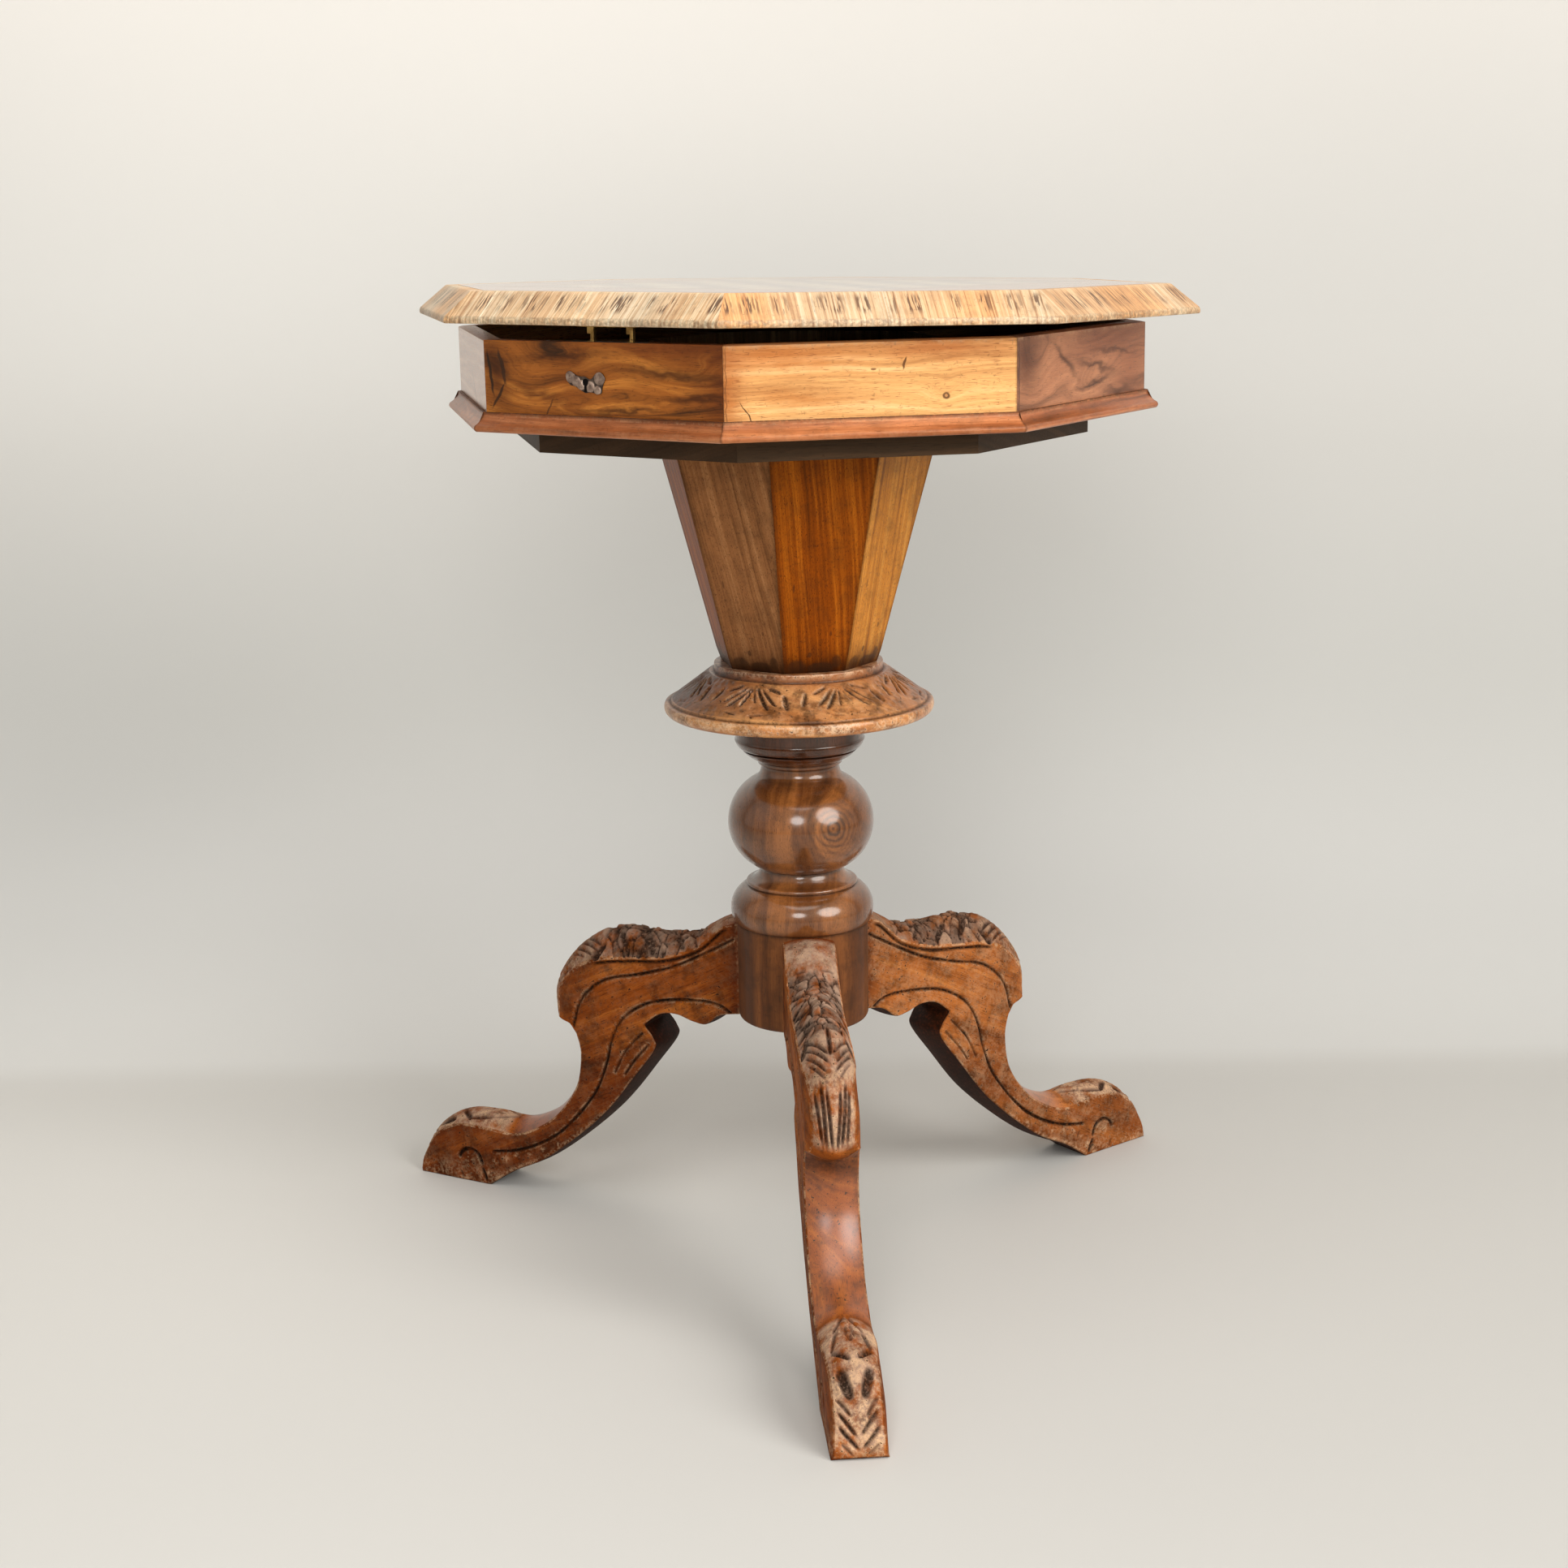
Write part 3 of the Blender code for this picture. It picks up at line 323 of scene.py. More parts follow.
def makeAgedGroup():
    # age and painted light: dark mottling, greyed carving, pale rubbed edges that are partly painted highlight, painted
    # shade from the Shade mask, small knocks, and dirt with painted shade in the cuts
    tree, given, out = newGroup("agedAndShadedSurface", [
        ("Place", "Vector"), ("Colour", "Color"), ("Cut", "Float"), ("WearAndHighlight", "Float"), ("Carved", "Float"),
        ("Shade", "Float"), ("DirtAndShade", "Color"), ("WornAndHighlight", "Color"), ("Greyed", "Color"), ("Knocks", "Float"),
        ("Mottle", "Float")], [("Colour", "Color"), ("Rough", "Float")])
    place = given["Place"]
    patch = noise(tree, place, (75, 75, 75), 4, 0.6)
    speck = noise(tree, place, (420, 420, 420), 3, 0.65)
    blotch = maths(tree, "MULTIPLY", between(tree, noise(tree, place, (70, 70, 70), 4, 0.65), 0.43, 0.68), given["Mottle"])
    grey = maths(tree, "MULTIPLY", given["Carved"], between(tree, patch, 0.30, 0.60))
    tone = blend(tree, maths(tree, "MULTIPLY", grey, 0.75), given["Colour"], given["Greyed"])
    tone = blend(tree, blotch, tone, blend(tree, 0.75, tone, given["DirtAndShade"]))
    # painted shade: where the Shade mask is high the colour is multiplied by a brown shade tone
    tone = blend(tree, given["Shade"], tone, rgb(128, 82, 56), "MULTIPLY")
    # pale flecks and rubbed patches follow the wear mask: real wear, and painted highlight where the mask carries one
    fleck = maths(tree, "MULTIPLY", between(tree, speck, 0.57, 0.66), 0.8)
    rubbedAndHighlight = maths(tree, "MAXIMUM", between(tree, maths(tree, "ADD", patch, speck), 0.85, 1.30), fleck)
    rubbedAndHighlight = maths(tree, "MULTIPLY", given["WearAndHighlight"], rubbedAndHighlight)
    tone = blend(tree, rubbedAndHighlight, tone, given["WornAndHighlight"])
    knock = maths(tree, "MULTIPLY", between(tree, speck, 0.61, 0.70), given["Knocks"])
    tone = blend(tree, knock, tone, given["DirtAndShade"])
    # the Cut mask darkens towards the dirt colour: dirt, and painted shade in cuts, creases and undersides
    dirtAndShadeShare = maths(tree, "MULTIPLY", given["Cut"], between(tree, speck, 0.30, 0.56, 0.5, 1.0))
    tone = blend(tree, dirtAndShadeShare, tone, given["DirtAndShade"])
    rough = maths(tree, "ADD", maths(tree, "MULTIPLY", dirtAndShadeShare, 0.3), maths(tree, "MULTIPLY", rubbedAndHighlight, 0.2))
    rough = maths(tree, "ADD", rough, maths(tree, "MULTIPLY", grey, 0.15))
    for label, value in (("Colour", tone), ("Rough", rough)):
        tree.links.new(value, out[label])
    return tree


def makeBlobGroup():
    # a soft mark: bell curve of the distance from its centre, stretched by its size, tilted in the face,
    # and made ragged by moving the place about with noise
    tree, given, out = newGroup("softBlob", [
        ("Place", "Vector"), ("Centre", "Vector"), ("Size", "Vector"), ("Tilt", "Float"), ("Ragged", "Float")],
        [("Mask", "Float")])
    grit = put(tree, "Mapping", {"Vector": given["Place"], "Scale": (60, 60, 160)}).outputs[0]
    grit = put(tree, "TexNoise", {"Vector": grit, "Scale": 1.0, "Detail": 3.0}).outputs["Color"]
    grit = put(tree, "VectorMath", {0: grit, 1: (0.5, 0.5, 0.5)}, operation="SUBTRACT").outputs[0]
    shift = put(tree, "VectorMath", {0: grit, "Scale": given["Ragged"]}, operation="SCALE").outputs[0]
    moved = put(tree, "VectorMath", {0: given["Place"], 1: shift}, operation="ADD").outputs[0]
    offset = put(tree, "VectorMath", {0: moved, 1: given["Centre"]}, operation="SUBTRACT").outputs[0]
    turned = put(tree, "VectorRotate", {"Vector": offset, "Angle": given["Tilt"]}, rotation_type="Y_AXIS").outputs[0]
    scaled = put(tree, "VectorMath", {0: turned, 1: given["Size"]}, operation="DIVIDE").outputs[0]
    square = put(tree, "VectorMath", {0: scaled, 1: scaled}, operation="DOT_PRODUCT").outputs[1]
    tree.links.new(maths(tree, "EXPONENT", maths(tree, "MULTIPLY", square, -1.0)), out["Mask"])
    return tree


def makeTarnishGroup():
    # old metal: broad cloudy tarnish, fine scratches and dark pits
    tree, given, out = newGroup("tarnish", [
        ("Place", "Vector"), ("Bright", "Color"), ("Dull", "Color"), ("Pit", "Color"), ("Amount", "Float")],
        [("Colour", "Color"), ("Rough", "Float"), ("Height", "Float")])
    cloud = noise(tree, given["Place"], (160, 160, 160), 4, 0.6)
    scratch = noise(tree, given["Place"], (120, 3000, 900), 2, 0.5)
    pit = between(tree, noise(tree, given["Place"], (900, 900, 900), 2, 0.5), 0.62, 0.72)
    dull = maths(tree, "MULTIPLY", between(tree, cloud, 0.3, 0.65), given["Amount"])
    tone = blend(tree, dull, given["Bright"], given["Dull"])
    tone = blend(tree, maths(tree, "MULTIPLY", pit, 0.7), tone, given["Pit"])
    rough = maths(tree, "ADD", maths(tree, "MULTIPLY_ADD", dull, 0.25, 0.28), maths(tree, "MULTIPLY", scratch, 0.12))
    height = maths(tree, "SUBTRACT", maths(tree, "MULTIPLY", scratch, 0.4), pit)
    for label, value in (("Colour", tone), ("Rough", rough), ("Height", height)):
        tree.links.new(value, out[label])
    return tree


grainGroup, agedAndShadedGroup = makeGrainGroup(), makeAgedGroup()
blobGroup, tarnishGroup = makeBlobGroup(), makeTarnishGroup()


def newMaterial(name):
    material = bpy.data.materials.new(name)
    material.use_nodes = True
    tree = material.node_tree
    return material, tree, tree.nodes["Principled BSDF"]


def placeOf(tree, turn=None, offset=(0, 0, 0), grainUp=False):
    # a new piece carries its own places; a CAD node's are found by turning the table's frame round the axis
    if turn is None:
        where = put(tree, "Attribute", attribute_name="place").outputs["Vector"]
    else:
        cos, sin = math.cos(turn), math.sin(turn)
        back = (-(cos * axis[0] + sin * axis[1]) + offset[0], sin * axis[0] - cos * axis[1] + offset[1], offset[2])
        where = put(tree, "Mapping", {"Vector": put(tree, "TexCoord").outputs["Object"], "Location": back,
                                      "Rotation": (0, 0, -turn)}).outputs[0]
    if grainUp:  # grain runs up the piece
        part = put(tree, "SeparateXYZ", {0: where}).outputs
        where = put(tree, "CombineXYZ", {0: part[2], 1: part[1], 2: part[0]}).outputs[0]
    return where


def blobMask(tree, place, centre, size, tilt, ragged):
    # size along and up the face; it reaches through the piece
    return useGroup(tree, blobGroup, {"Place": place, "Centre": centre, "Size": (size[0], 9.0, size[1]),
                                      "Tilt": math.radians(tilt), "Ragged": ragged})["Mask"]


def woodFinish(name, look, **where):
    material, tree, shader = newMaterial(name)
    place = placeOf(tree, **where)
    swirl = None
    for centre, size, tilt, amount in look.get("swirls", ()):  # the grain runs round these
        bump = maths(tree, "MULTIPLY", blobMask(tree, place, centre, size, tilt, 0.004), amount)
        swirl = bump if swirl is None else maths(tree, "ADD", swirl, bump)
    grain = useGroup(tree, grainGroup, {
        "Place": place, "Pale": rgb(*look["pale"]), "Mid": rgb(*look["mid"]), "Dark": rgb(*look["dark"]),
        "Lines": look.get("lines", 170.0), "Figure": look.get("figure", 2.5),
        "Contrast": look.get("contrast", 0.7), "Pores": look.get("pores", 0.6), "Swirl": 0.0 if swirl is None else swirl})
    colour = grain["Colour"]
    for centre, size, tilt, tone, share in look.get("shades", ()):  # stained or bleached areas, grain still showing
        mask = maths(tree, "MULTIPLY", blobMask(tree, place, centre, size, tilt, 0.012), share)
        colour = blend(tree, mask, colour, rgb(*tone), "MULTIPLY" if sum(tone) < 500 else "SCREEN")
    for centre, size, tilt, tone, share in look.get("marks", ()):  # cracks, plugs and knocks
        mask = between(tree, blobMask(tree, place, centre, size, tilt, 0.003), 0.25, 0.6)
        colour = blend(tree, maths(tree, "MULTIPLY", mask, share), colour, rgb(*tone))
    # masks from the piece: cut darkens with dirt and painted shade, wear lightens with wear and painted highlight,
    # shade is painted shade
    cut, wearAndHighlight, carved, shade, matt = (put(tree, "Attribute", attribute_name=label).outputs["Fac"]
                                      for label in ("cut", "wearAndHighlight", "carved", "shade", "matt"))
    agedAndShaded = useGroup(tree, agedAndShadedGroup, {
        "Place": place, "Colour": colour, "Cut": cut, "WearAndHighlight": maths(tree, "MULTIPLY", wearAndHighlight, look.get("wearAndHighlightShare", 0.7)),
        "Carved": carved, "Shade": shade, "DirtAndShade": rgb(*look.get("dirtAndShade", (34, 20, 12))), "WornAndHighlight": rgb(*look.get("wornAndHighlight", (205, 165, 125))),
        "Greyed": rgb(*look.get("greyed", (122, 98, 78))), "Knocks": look.get("knocks", 0.25),
        "Mottle": look.get("mottle", 0.0)})
    tree.links.new(agedAndShaded["Colour"], shader.inputs["Base Color"])
    polish = maths(tree, "MULTIPLY_ADD", grain["Height"], 0.10, look.get("rough", 0.30))
    polish = maths(tree, "MULTIPLY_ADD", matt, 0.25, polish)
    tree.links.new(maths(tree, "ADD", polish, agedAndShaded["Rough"]), shader.inputs["Roughness"])
    bump = put(tree, "Bump", {"Height": grain["Height"], "Strength": look.get("bump", 0.25), "Distance": 0.0004})
    tree.links.new(bump.outputs[0], shader.inputs["Normal"])
    shader.inputs["Specular IOR Level"].default_value = look.get("shine", 0.3)
    shader.inputs["Specular Tint"].default_value = rgb(*look.get("sheen", (255, 226, 190)))
    dull = maths(tree, "MAXIMUM", maths(tree, "MAXIMUM", cut, carved), matt)
    coat = maths(tree, "MULTIPLY_ADD", dull, -0.96 * look.get("coat", 0.1), look.get("coat", 0.1))
    tree.links.new(coat, shader.inputs["Coat Weight"])
    shader.inputs["Coat Roughness"].default_value = look.get("coatRough", 0.25)
    shader.inputs["Coat IOR"].default_value = look.get("coatIndex", 1.5)
    return material


def metalFinish(name, bright, dull, pit, amount, turn=0.0):
    material, tree, shader = newMaterial(name)
    skin = useGroup(tree, tarnishGroup, {"Place": placeOf(tree, turn=turn), "Bright": rgb(*bright),
                                         "Dull": rgb(*dull), "Pit": rgb(*pit), "Amount": amount})
    tree.links.new(skin["Colour"], shader.inputs["Base Color"])
    tree.links.new(skin["Rough"], shader.inputs["Roughness"])
    bump = put(tree, "Bump", {"Height": skin["Height"], "Strength": 0.3, "Distance": 0.0002})
    tree.links.new(bump.outputs[0], shader.inputs["Normal"])
    shader.inputs["Metallic"].default_value = 1.0
    return material


def dress(nodeName, material):
    slots = nodes[nodeName].data.materials
    slots.clear()
    slots.append(material)


print("shader groups ready")


# Legs: one station after another from the drum to the toe, each a closed section with a crowned top.
# Lengths in millimetres, outwards from the column's axis and up from the floor.
legs = {
    "turns": (37.9, 161.0, 274.7), "half": 18.5, "edge": 1.3, "stations": 440,
    "topCount": 52, "sideCount": 60, "underCount": 8, "drum": 47.2, "foot": 0.25,
    # outwards, up, and how far the edges fall back from the crown
    "knee": [(42.2, 246.5, 4), (60, 243, 6), (84, 230.5, 12), (112, 226, 18), (144, 225.5, 22), (169, 218.5, 20),
             (192, 202, 14), (208.5, 180, 10), (212.5, 161, 9), (208, 145, 7), (195, 140.5, 6)],
    "shin": [(190, 136.5, 4), (187.5, 122, 4.6), (191.5, 98.5, 4.8), (204.5, 78.5, 5), (222, 64.5, 6.5), (247, 55, 9),
             (275, 55.8, 9.5), (304, 52.5, 8), (328, 37, 5.5), (338.5, 15, 2.5), (339.8, 2.5, 0.6)],
    "arch": [(42.2, 174, 0), (60, 169.5, 1), (72, 160.5, 1.5), (84, 161, 1.5), (98, 165, 1), (112, 163, 1),
             (125, 153.5, 1)],
    "calf": [(125, 153.5, 1), (117, 145.5, 2), (115.5, 135.5, 2), (133, 112, 2), (166, 72.5, 2), (214, 32.5, 2),
             (250, 13.5, 1.5), (272, 0, 0)],
    # stations that belong together: a point of the top line and one of the underside
    "pairs": [((42.2, 246.5), (42.2, 174)), ((84, 230.5), (72, 160.5)), ((112, 226), (98, 165)),
              ((144, 225.5), (112, 163)), ((192, 202), (125, 153.5)), ((208.5, 180), (117, 145.5)),
              ((212.5, 161), (114.8, 139)), ((208, 145), (115.5, 135.5)), ((195, 140.5), (119, 130)),
              ((190, 136.5), (122, 126)), ((187.5, 122), (133, 112)), ((191.5, 98.5), (150, 91)),
              ((204.5, 78.5), (166, 72.5)), ((222, 64.5), (190, 50)), ((247, 55), (214, 32.5)),
              ((275, 55.8), (250, 13.5)), ((304, 52.5), (272, 0)), ((328, 37), (300, 0)),
              ((338.5, 15), (325, 0)), ((339.8, 2.5), (337, 0))],
    # drawn on the flat sides
    "upperLine": [(48, 230), (63.6, 221), (85, 209.5), (101.6, 201.5), (118, 196), (135, 191), (152, 187),
                  (166, 180.5), (178, 170), (184.5, 159), (187, 150), (190, 141)],
    "lowerLine": [(51, 173), (59, 177.6), (69, 179.4), (81.6, 179), (99.5, 177), (117.7, 172.6), (132.5, 165.6), (143.8, 156.7),
                  (151.6, 145.7), (156.5, 133.4), (159.5, 121), (164.5, 107), (170.5, 94.5), (180.3, 81),
                  (192.2, 67.3), (208, 52.6), (228, 40.5), (248, 32.5), (268, 28.5)],
    "veins": [[(128, 146.5), (143, 130.5), (153, 112)], [(122.5, 138.5), (136, 123.3), (144, 112)],
              [(119, 129), (128, 118), (135, 108)]],
    "scroll": [(301, 19.5), (298, 24), (292.5, 26.6), (286.5, 26), (282.2, 22.4), (280.2, 16.5)],
    # rubbed beads along the lower edge and on the scroll: outwards, up, radius
    "beads": [(257, 25, 3.4), (246, 29, 2.6), (234, 32.5, 3.0), (221, 38.5, 2.2), (207, 45, 2.0), (195, 51, 1.8), (273, 9, 4.4),
              (303, 6, 3.4), (291, 18, 4.6), (266, 20, 2.6), (316, 4, 2.6), (331, 5, 3.0)],
    "knobs": [(275, 1, 280, 14, 5.0, 2.2), (262, 17, 265, 24, 3.6, 1.2), (244, 25, 246, 30, 2.6, 0.8),
              (298, 1, 300, 8, 3.4, 1.2), (233, 32, 234, 36, 2.2, 0.7)],
    # gouge strokes on the carved top: along, across, to along, to across, width, depth; the other half follows
    "kneeCuts": [
        (36, 15.5, 39, 4, 3.2, 1.8), (55, 16.8, 66, 7, 4.6, 2.6), (77, 17, 90, 8, 5.0, 3.0), (98, 17, 114, 7, 6.0, 3.4),
        (146, 18, 124, 12.5, 5.0, 3.4), (127, 15.5, 150, 1.8, 3.2, 2.4), (134, 16, 157, 2.0, 3.2, 2.4),
        (142, 16, 164, 3.0, 3.2, 2.4), (151, 16, 168, 6.0, 2.6, 1.8), (122, 0.3, 152, 0.3, 3.4, 2.8),
        (170, 14.4, 217, 9.6, 3.8, 2.8), (166, 10.2, 219, 6.2, 4.2, 3.2), (172, 5.8, 219, 2.4, 3.8, 3.0)],
    "footCuts": [
        (360, 0.4, 384, 9.5, 3.4, 2.0), (380, 8.5, 406, 13.5, 3.8, 2.2), (373, 1.8, 392, 3.0, 2.6, 1.4),
        (388, 0.2, 398, 0.2, 3.4, 1.8), (402, 14.5, 416, 2.6, 6.2, 2.8), (420, 12.8, 446, 5.0, 9.5, 3.4),
        (442, 16, 456, 5, 3.8, 2.4), (451, 15.5, 468, 0.5, 4.0, 2.8), (460, 15.5, 477, 0.5, 4.0, 2.8),
        (471, 14, 481, 4, 3.2, 1.8)],
    # leaf lumps of the husk: from, to, row spacing, width and depth of the furrows, how far a lump may be lowered
    "husk": (41, 127, 8.4, 1.4, 3.0, 2.0), "huskWarp": 9.0, "carvedSpans": [(3, 219), (362, 480)],
    # how much each leg is darkened all over and on its carving, as painted shade, and how far its sides are rubbed
    "shadingAndRubbing": ((0.0, 0.0, 0.08), (0.0, 0.35, 0.24), (0.10, 0.05, 0.08)), "grainFall": 27.0,
    "roundings": [(150, 236, 22, 4.0), (385, 500, 40, 2.6)], "roundReach": 13.0,
    # side lines: distance below the top edge, and for each kind its width and depth
    "rail": (3.2, 1.6, 2.0), "deepLine": (1.5, 2.1), "scrollLine": (1.7, 2.6), "veinLine": (1.5, 1.6),
}
legLook = {
    "pale": (188, 108, 42), "mid": (152, 78, 26), "dark": (76, 33, 8), "lines": 120.0, "figure": 1.8,
    "contrast": 0.60, "pores": 0.9, "rough": 0.40, "shine": 0.10, "coat": 1.0, "coatRough": 0.36, "coatIndex": 1.64,
    "bump": 0.3, "knocks": 1.0, "mottle": 0.65, "dirtAndShade": (26, 13, 7), "wornAndHighlight": (216, 174, 134), "greyed": (168, 146, 128), "wearAndHighlightShare": 0.9,
    "sheen": (255, 205, 150)}
# lit and shaded copies of the leg wood: the right leg (2) paler as painted light, the left leg (3) darker and redder as
# painted shade
legLightAndShade = [{}, {"pale": (198, 124, 62), "mid": (168, 96, 44), "dark": (84, 40, 14)},
            {"pale": (186, 104, 38), "mid": (148, 73, 21), "dark": (66, 28, 6), "mottle": 0.75}]


def spanMask(values, start, end, soft):
    return np.clip((values - start) / soft, 0, 1) * np.clip((end - values) / soft, 0, 1)


def huskSeeds(start, end, spacing, lowest):
    # rows of leaf lumps, set like bricks and a little out of place; the last column is how far each is lowered
    rows = [(along, across) for number, along in enumerate(np.arange(start, end, spacing))
            for across in ((-15, -7.5, 0, 7.5, 15) if number % 2 else (-11.5, -4, 4, 11.5))]
    seeds = np.array(rows) + chance.normal(0, 1.9, (len(rows), 2))
    return np.column_stack([seeds, chance.uniform(0, lowest, len(rows))])


def lumps(at, seeds, width, deep):
    # a furrow runs where the two nearest seeds are equally far; inside it a lump lies as low as its own seed
    away = np.linalg.norm((at[:, None] - seeds[:, :2]) * np.array([0.8, 1.0]), axis=2)
    nearest = np.argpartition(away, 1, axis=1)[:, :2]
    first, second = np.take_along_axis(away, nearest, 1).T
    return np.maximum(deep * np.exp(-((second - first) / width) ** 2), seeds[nearest[:, 0], 2])


def makeLeg(number, turn):
    top = np.vstack([smoothLine(legs["knee"], 14), smoothLine(legs["shin"], 14)])
    sole = np.linspace(legs["calf"][-1], (339.6, 0, 0), 60)[1:]
    under = np.vstack([smoothLine(legs["arch"], 14), smoothLine(legs["calf"], 14)[1:], sole])
    topLength, underLength = lengthAlong(top), lengthAlong(under)
    pairTop, pairUnder = (np.array([lengths[np.linalg.norm(line[:, :2] - pair[which], axis=1).argmin()]
                                    for pair in legs["pairs"]])
                          for which, line, lengths in ((0, top, topLength), (1, under, underLength)))
    along = np.linspace(0, pairTop[-1], legs["stations"])
    crest = pointsAt(top, topLength, along)
    below = pointsAt(under, underLength, np.interp(along, pairTop, pairUnder))
    crestWay, belowWay = (np.gradient(line[:, :2], axis=0) for line in (crest, below))
    crestIn = np.stack([crestWay[:, 1], -crestWay[:, 0]], 1) / np.linalg.norm(crestWay, axis=1)[:, None]
    belowIn = np.stack([-belowWay[:, 1], belowWay[:, 0]], 1) / np.linalg.norm(belowWay, axis=1)[:, None]
    half, edge = legs["half"], legs["edge"]
    rounding = sum(deep * spanMask(along, start, end, soft) for start, end, soft, deep in legs["roundings"])
    halfTop = (half - rounding)[:, None]
    topEdge = crest[:, :2] + crest[:, 2:] * crestIn
    lowEdge = below[:, :2] + below[:, 2:] * belowIn

    # crowned top: share runs across it, and the gouge strokes sink it along the line's inner normal
    share = np.linspace(-1, 1, legs["topCount"]) * (1 - edge / half)
    at = np.stack(np.broadcast_arrays(along[:, None], share * half), -1).reshape(-1, 2)
    huskFrom, huskTo, rowSpacing, furrow, furrowDeep, lowest = legs["husk"]
    bent = at + legs["huskWarp"] * (np.stack([cloudy(at + shift, 11.0, chance.random((24, 24))) for shift in (0, 57)], 1) - 0.5)
    leaves = lumps(bent, huskSeeds(huskFrom, huskTo, rowSpacing, lowest), furrow, furrowDeep)
    leaves = np.maximum(leaves, 3.4 * np.clip(cloudy(bent, 6.0, chance.random((24, 24))) - 0.66, 0, 0.3) / 0.3)
    cuts = gouges(at, np.vstack([bothSides(legs["kneeCuts"], 0.6), bothSides(legs["footCuts"], 0.5)]))
    cuts = np.maximum(cuts, leaves * spanMask(at[:, 0], huskFrom - 4, huskTo + 3, 5.0)).reshape(len(along), -1)
    carved = sum(spanMask(along, *span, 6.0) for span in legs["carvedSpans"])[:, None] * np.ones_like(share)
    rough = carved * ripple(np.stack([at[:, 0], at[:, 1], at[:, 0] * 0], -1), 9.0, 0.35).reshape(cuts.shape)
    sunk = crest[:, None, 2] * share ** 2 + cuts + np.abs(rough)
    topFlat = crest[:, None, :2] + sunk[..., None] * crestIn[:, None]
    topAcross = share * halfTop

    # flat side: ruled from the top edge to the lower one, with drawn lines cut into it
    drop = lowEdge - topEdge
    tall = np.linalg.norm(drop, axis=1)
    fall = edge + np.linspace(0, 1, legs["sideCount"]) * (tall[:, None] - 2 * edge)
    sideFlat = topEdge[:, None] + drop[:, None] * (fall / tall[:, None])[..., None]
    flat = sideFlat.reshape(-1, 2)
    drawn, grooveHighlight = gouges(flat, legs["knobs"]), np.zeros(len(flat))
    for line, (width, deep) in ((legs["upperLine"], legs["deepLine"]), (legs["lowerLine"], legs["deepLine"]),
                                (legs["scroll"], legs["scrollLine"]),
                                *((vein, legs["veinLine"]) for vein in legs["veins"])):
        bell = lineCut(flat, smoothLine(line, 6), width)
        # painted highlight along both lips of each drawn line, carried by the wear mask
        drawn, grooveHighlight = np.maximum(drawn, deep * bell), np.maximum(grooveHighlight, 4 * bell * (1 - bell))
    drawn = drawn * (0.72 + 0.5 * cloudy(flat, 9.0, chance.random((24, 24))))
    drawn, grooveHighlight = drawn.reshape(fall.shape), grooveHighlight.reshape(fall.shape)
    railAt, railWide, railDeep = legs["rail"]
    rail = spanMask(along, 8, 150, 8)[:, None] * np.exp(-((fall - railAt) / railWide) ** 2)
    drawn = np.maximum(drawn, railDeep * rail)
    turned = rounding[:, None] * np.clip(1 - fall / legs["roundReach"], 0, 1) ** 2
    sideAcross = half - turned - drawn

    # rounded arrises between top, side and underside
    swing = np.radians([22.5, 45.0, 67.5])
    away, onto = 1 - np.sin(swing), 1 - np.cos(swing)
    unit = drop / tall[:, None]
    topArris = (topEdge[:, None] + away[:, None] * (topFlat[:, -1] - topEdge)[:, None]
                + onto[:, None] * edge * unit[:, None])
    lowShare = np.linspace(1, -1, legs["underCount"]) * (1 - edge / half)
    lowFlat = below[:, None, :2] + (below[:, None, 2] * lowShare ** 2)[..., None] * belowIn[:, None]
    lowArris = (lowEdge[:, None] + onto[::-1, None] * -edge * unit[:, None]
                + away[::-1, None] * (lowFlat[:, 0] - lowEdge)[:, None])
    topArrisAcross = halfTop - away * edge * halfTop / half
    lowArrisAcross = np.broadcast_to(half - away[::-1] * edge, (len(along), 3))
    rightFlat = np.concatenate([topArris, sideFlat, lowArris], 1)
    rightAcross = np.concatenate([topArrisAcross, sideAcross, lowArrisAcross], 1)
    section = np.concatenate([topFlat, rightFlat, lowFlat, rightFlat[:, ::-1]], 1)
    across = np.concatenate([topAcross, rightAcross, np.broadcast_to(lowShare * half, lowFlat.shape[:2]),
                             -rightAcross[:, ::-1]], 1)
    reach = np.maximum(section[..., 0], np.sqrt(np.maximum(legs["drum"] ** 2 - across ** 2, 0)))
    height = np.maximum(section[..., 1], legs["foot"])
    local = np.stack([reach, across, height], -1)

    # masks: painted shade with dirt in the cuts and underneath, wear on arrises, heel and toe, painted highlights
    # beside the drawn lines and on the bell, greyed carving
    arris = np.ones((len(along), 3))
    # lowDark: the underside near-black as painted shade; the lower arris a little darker too
    lowDark = np.full(lowFlat.shape[:2], 0.9)
    cutRight = np.concatenate([arris * 0, np.clip((drawn - 0.45) / 1.2, 0, 1), arris * 0.3], 1)
    topCut = np.clip((cuts - 0.9) / 1.6, 0, 1) * (0.92 - 0.12 * spanMask(along, 160, 224, 6))[:, None]
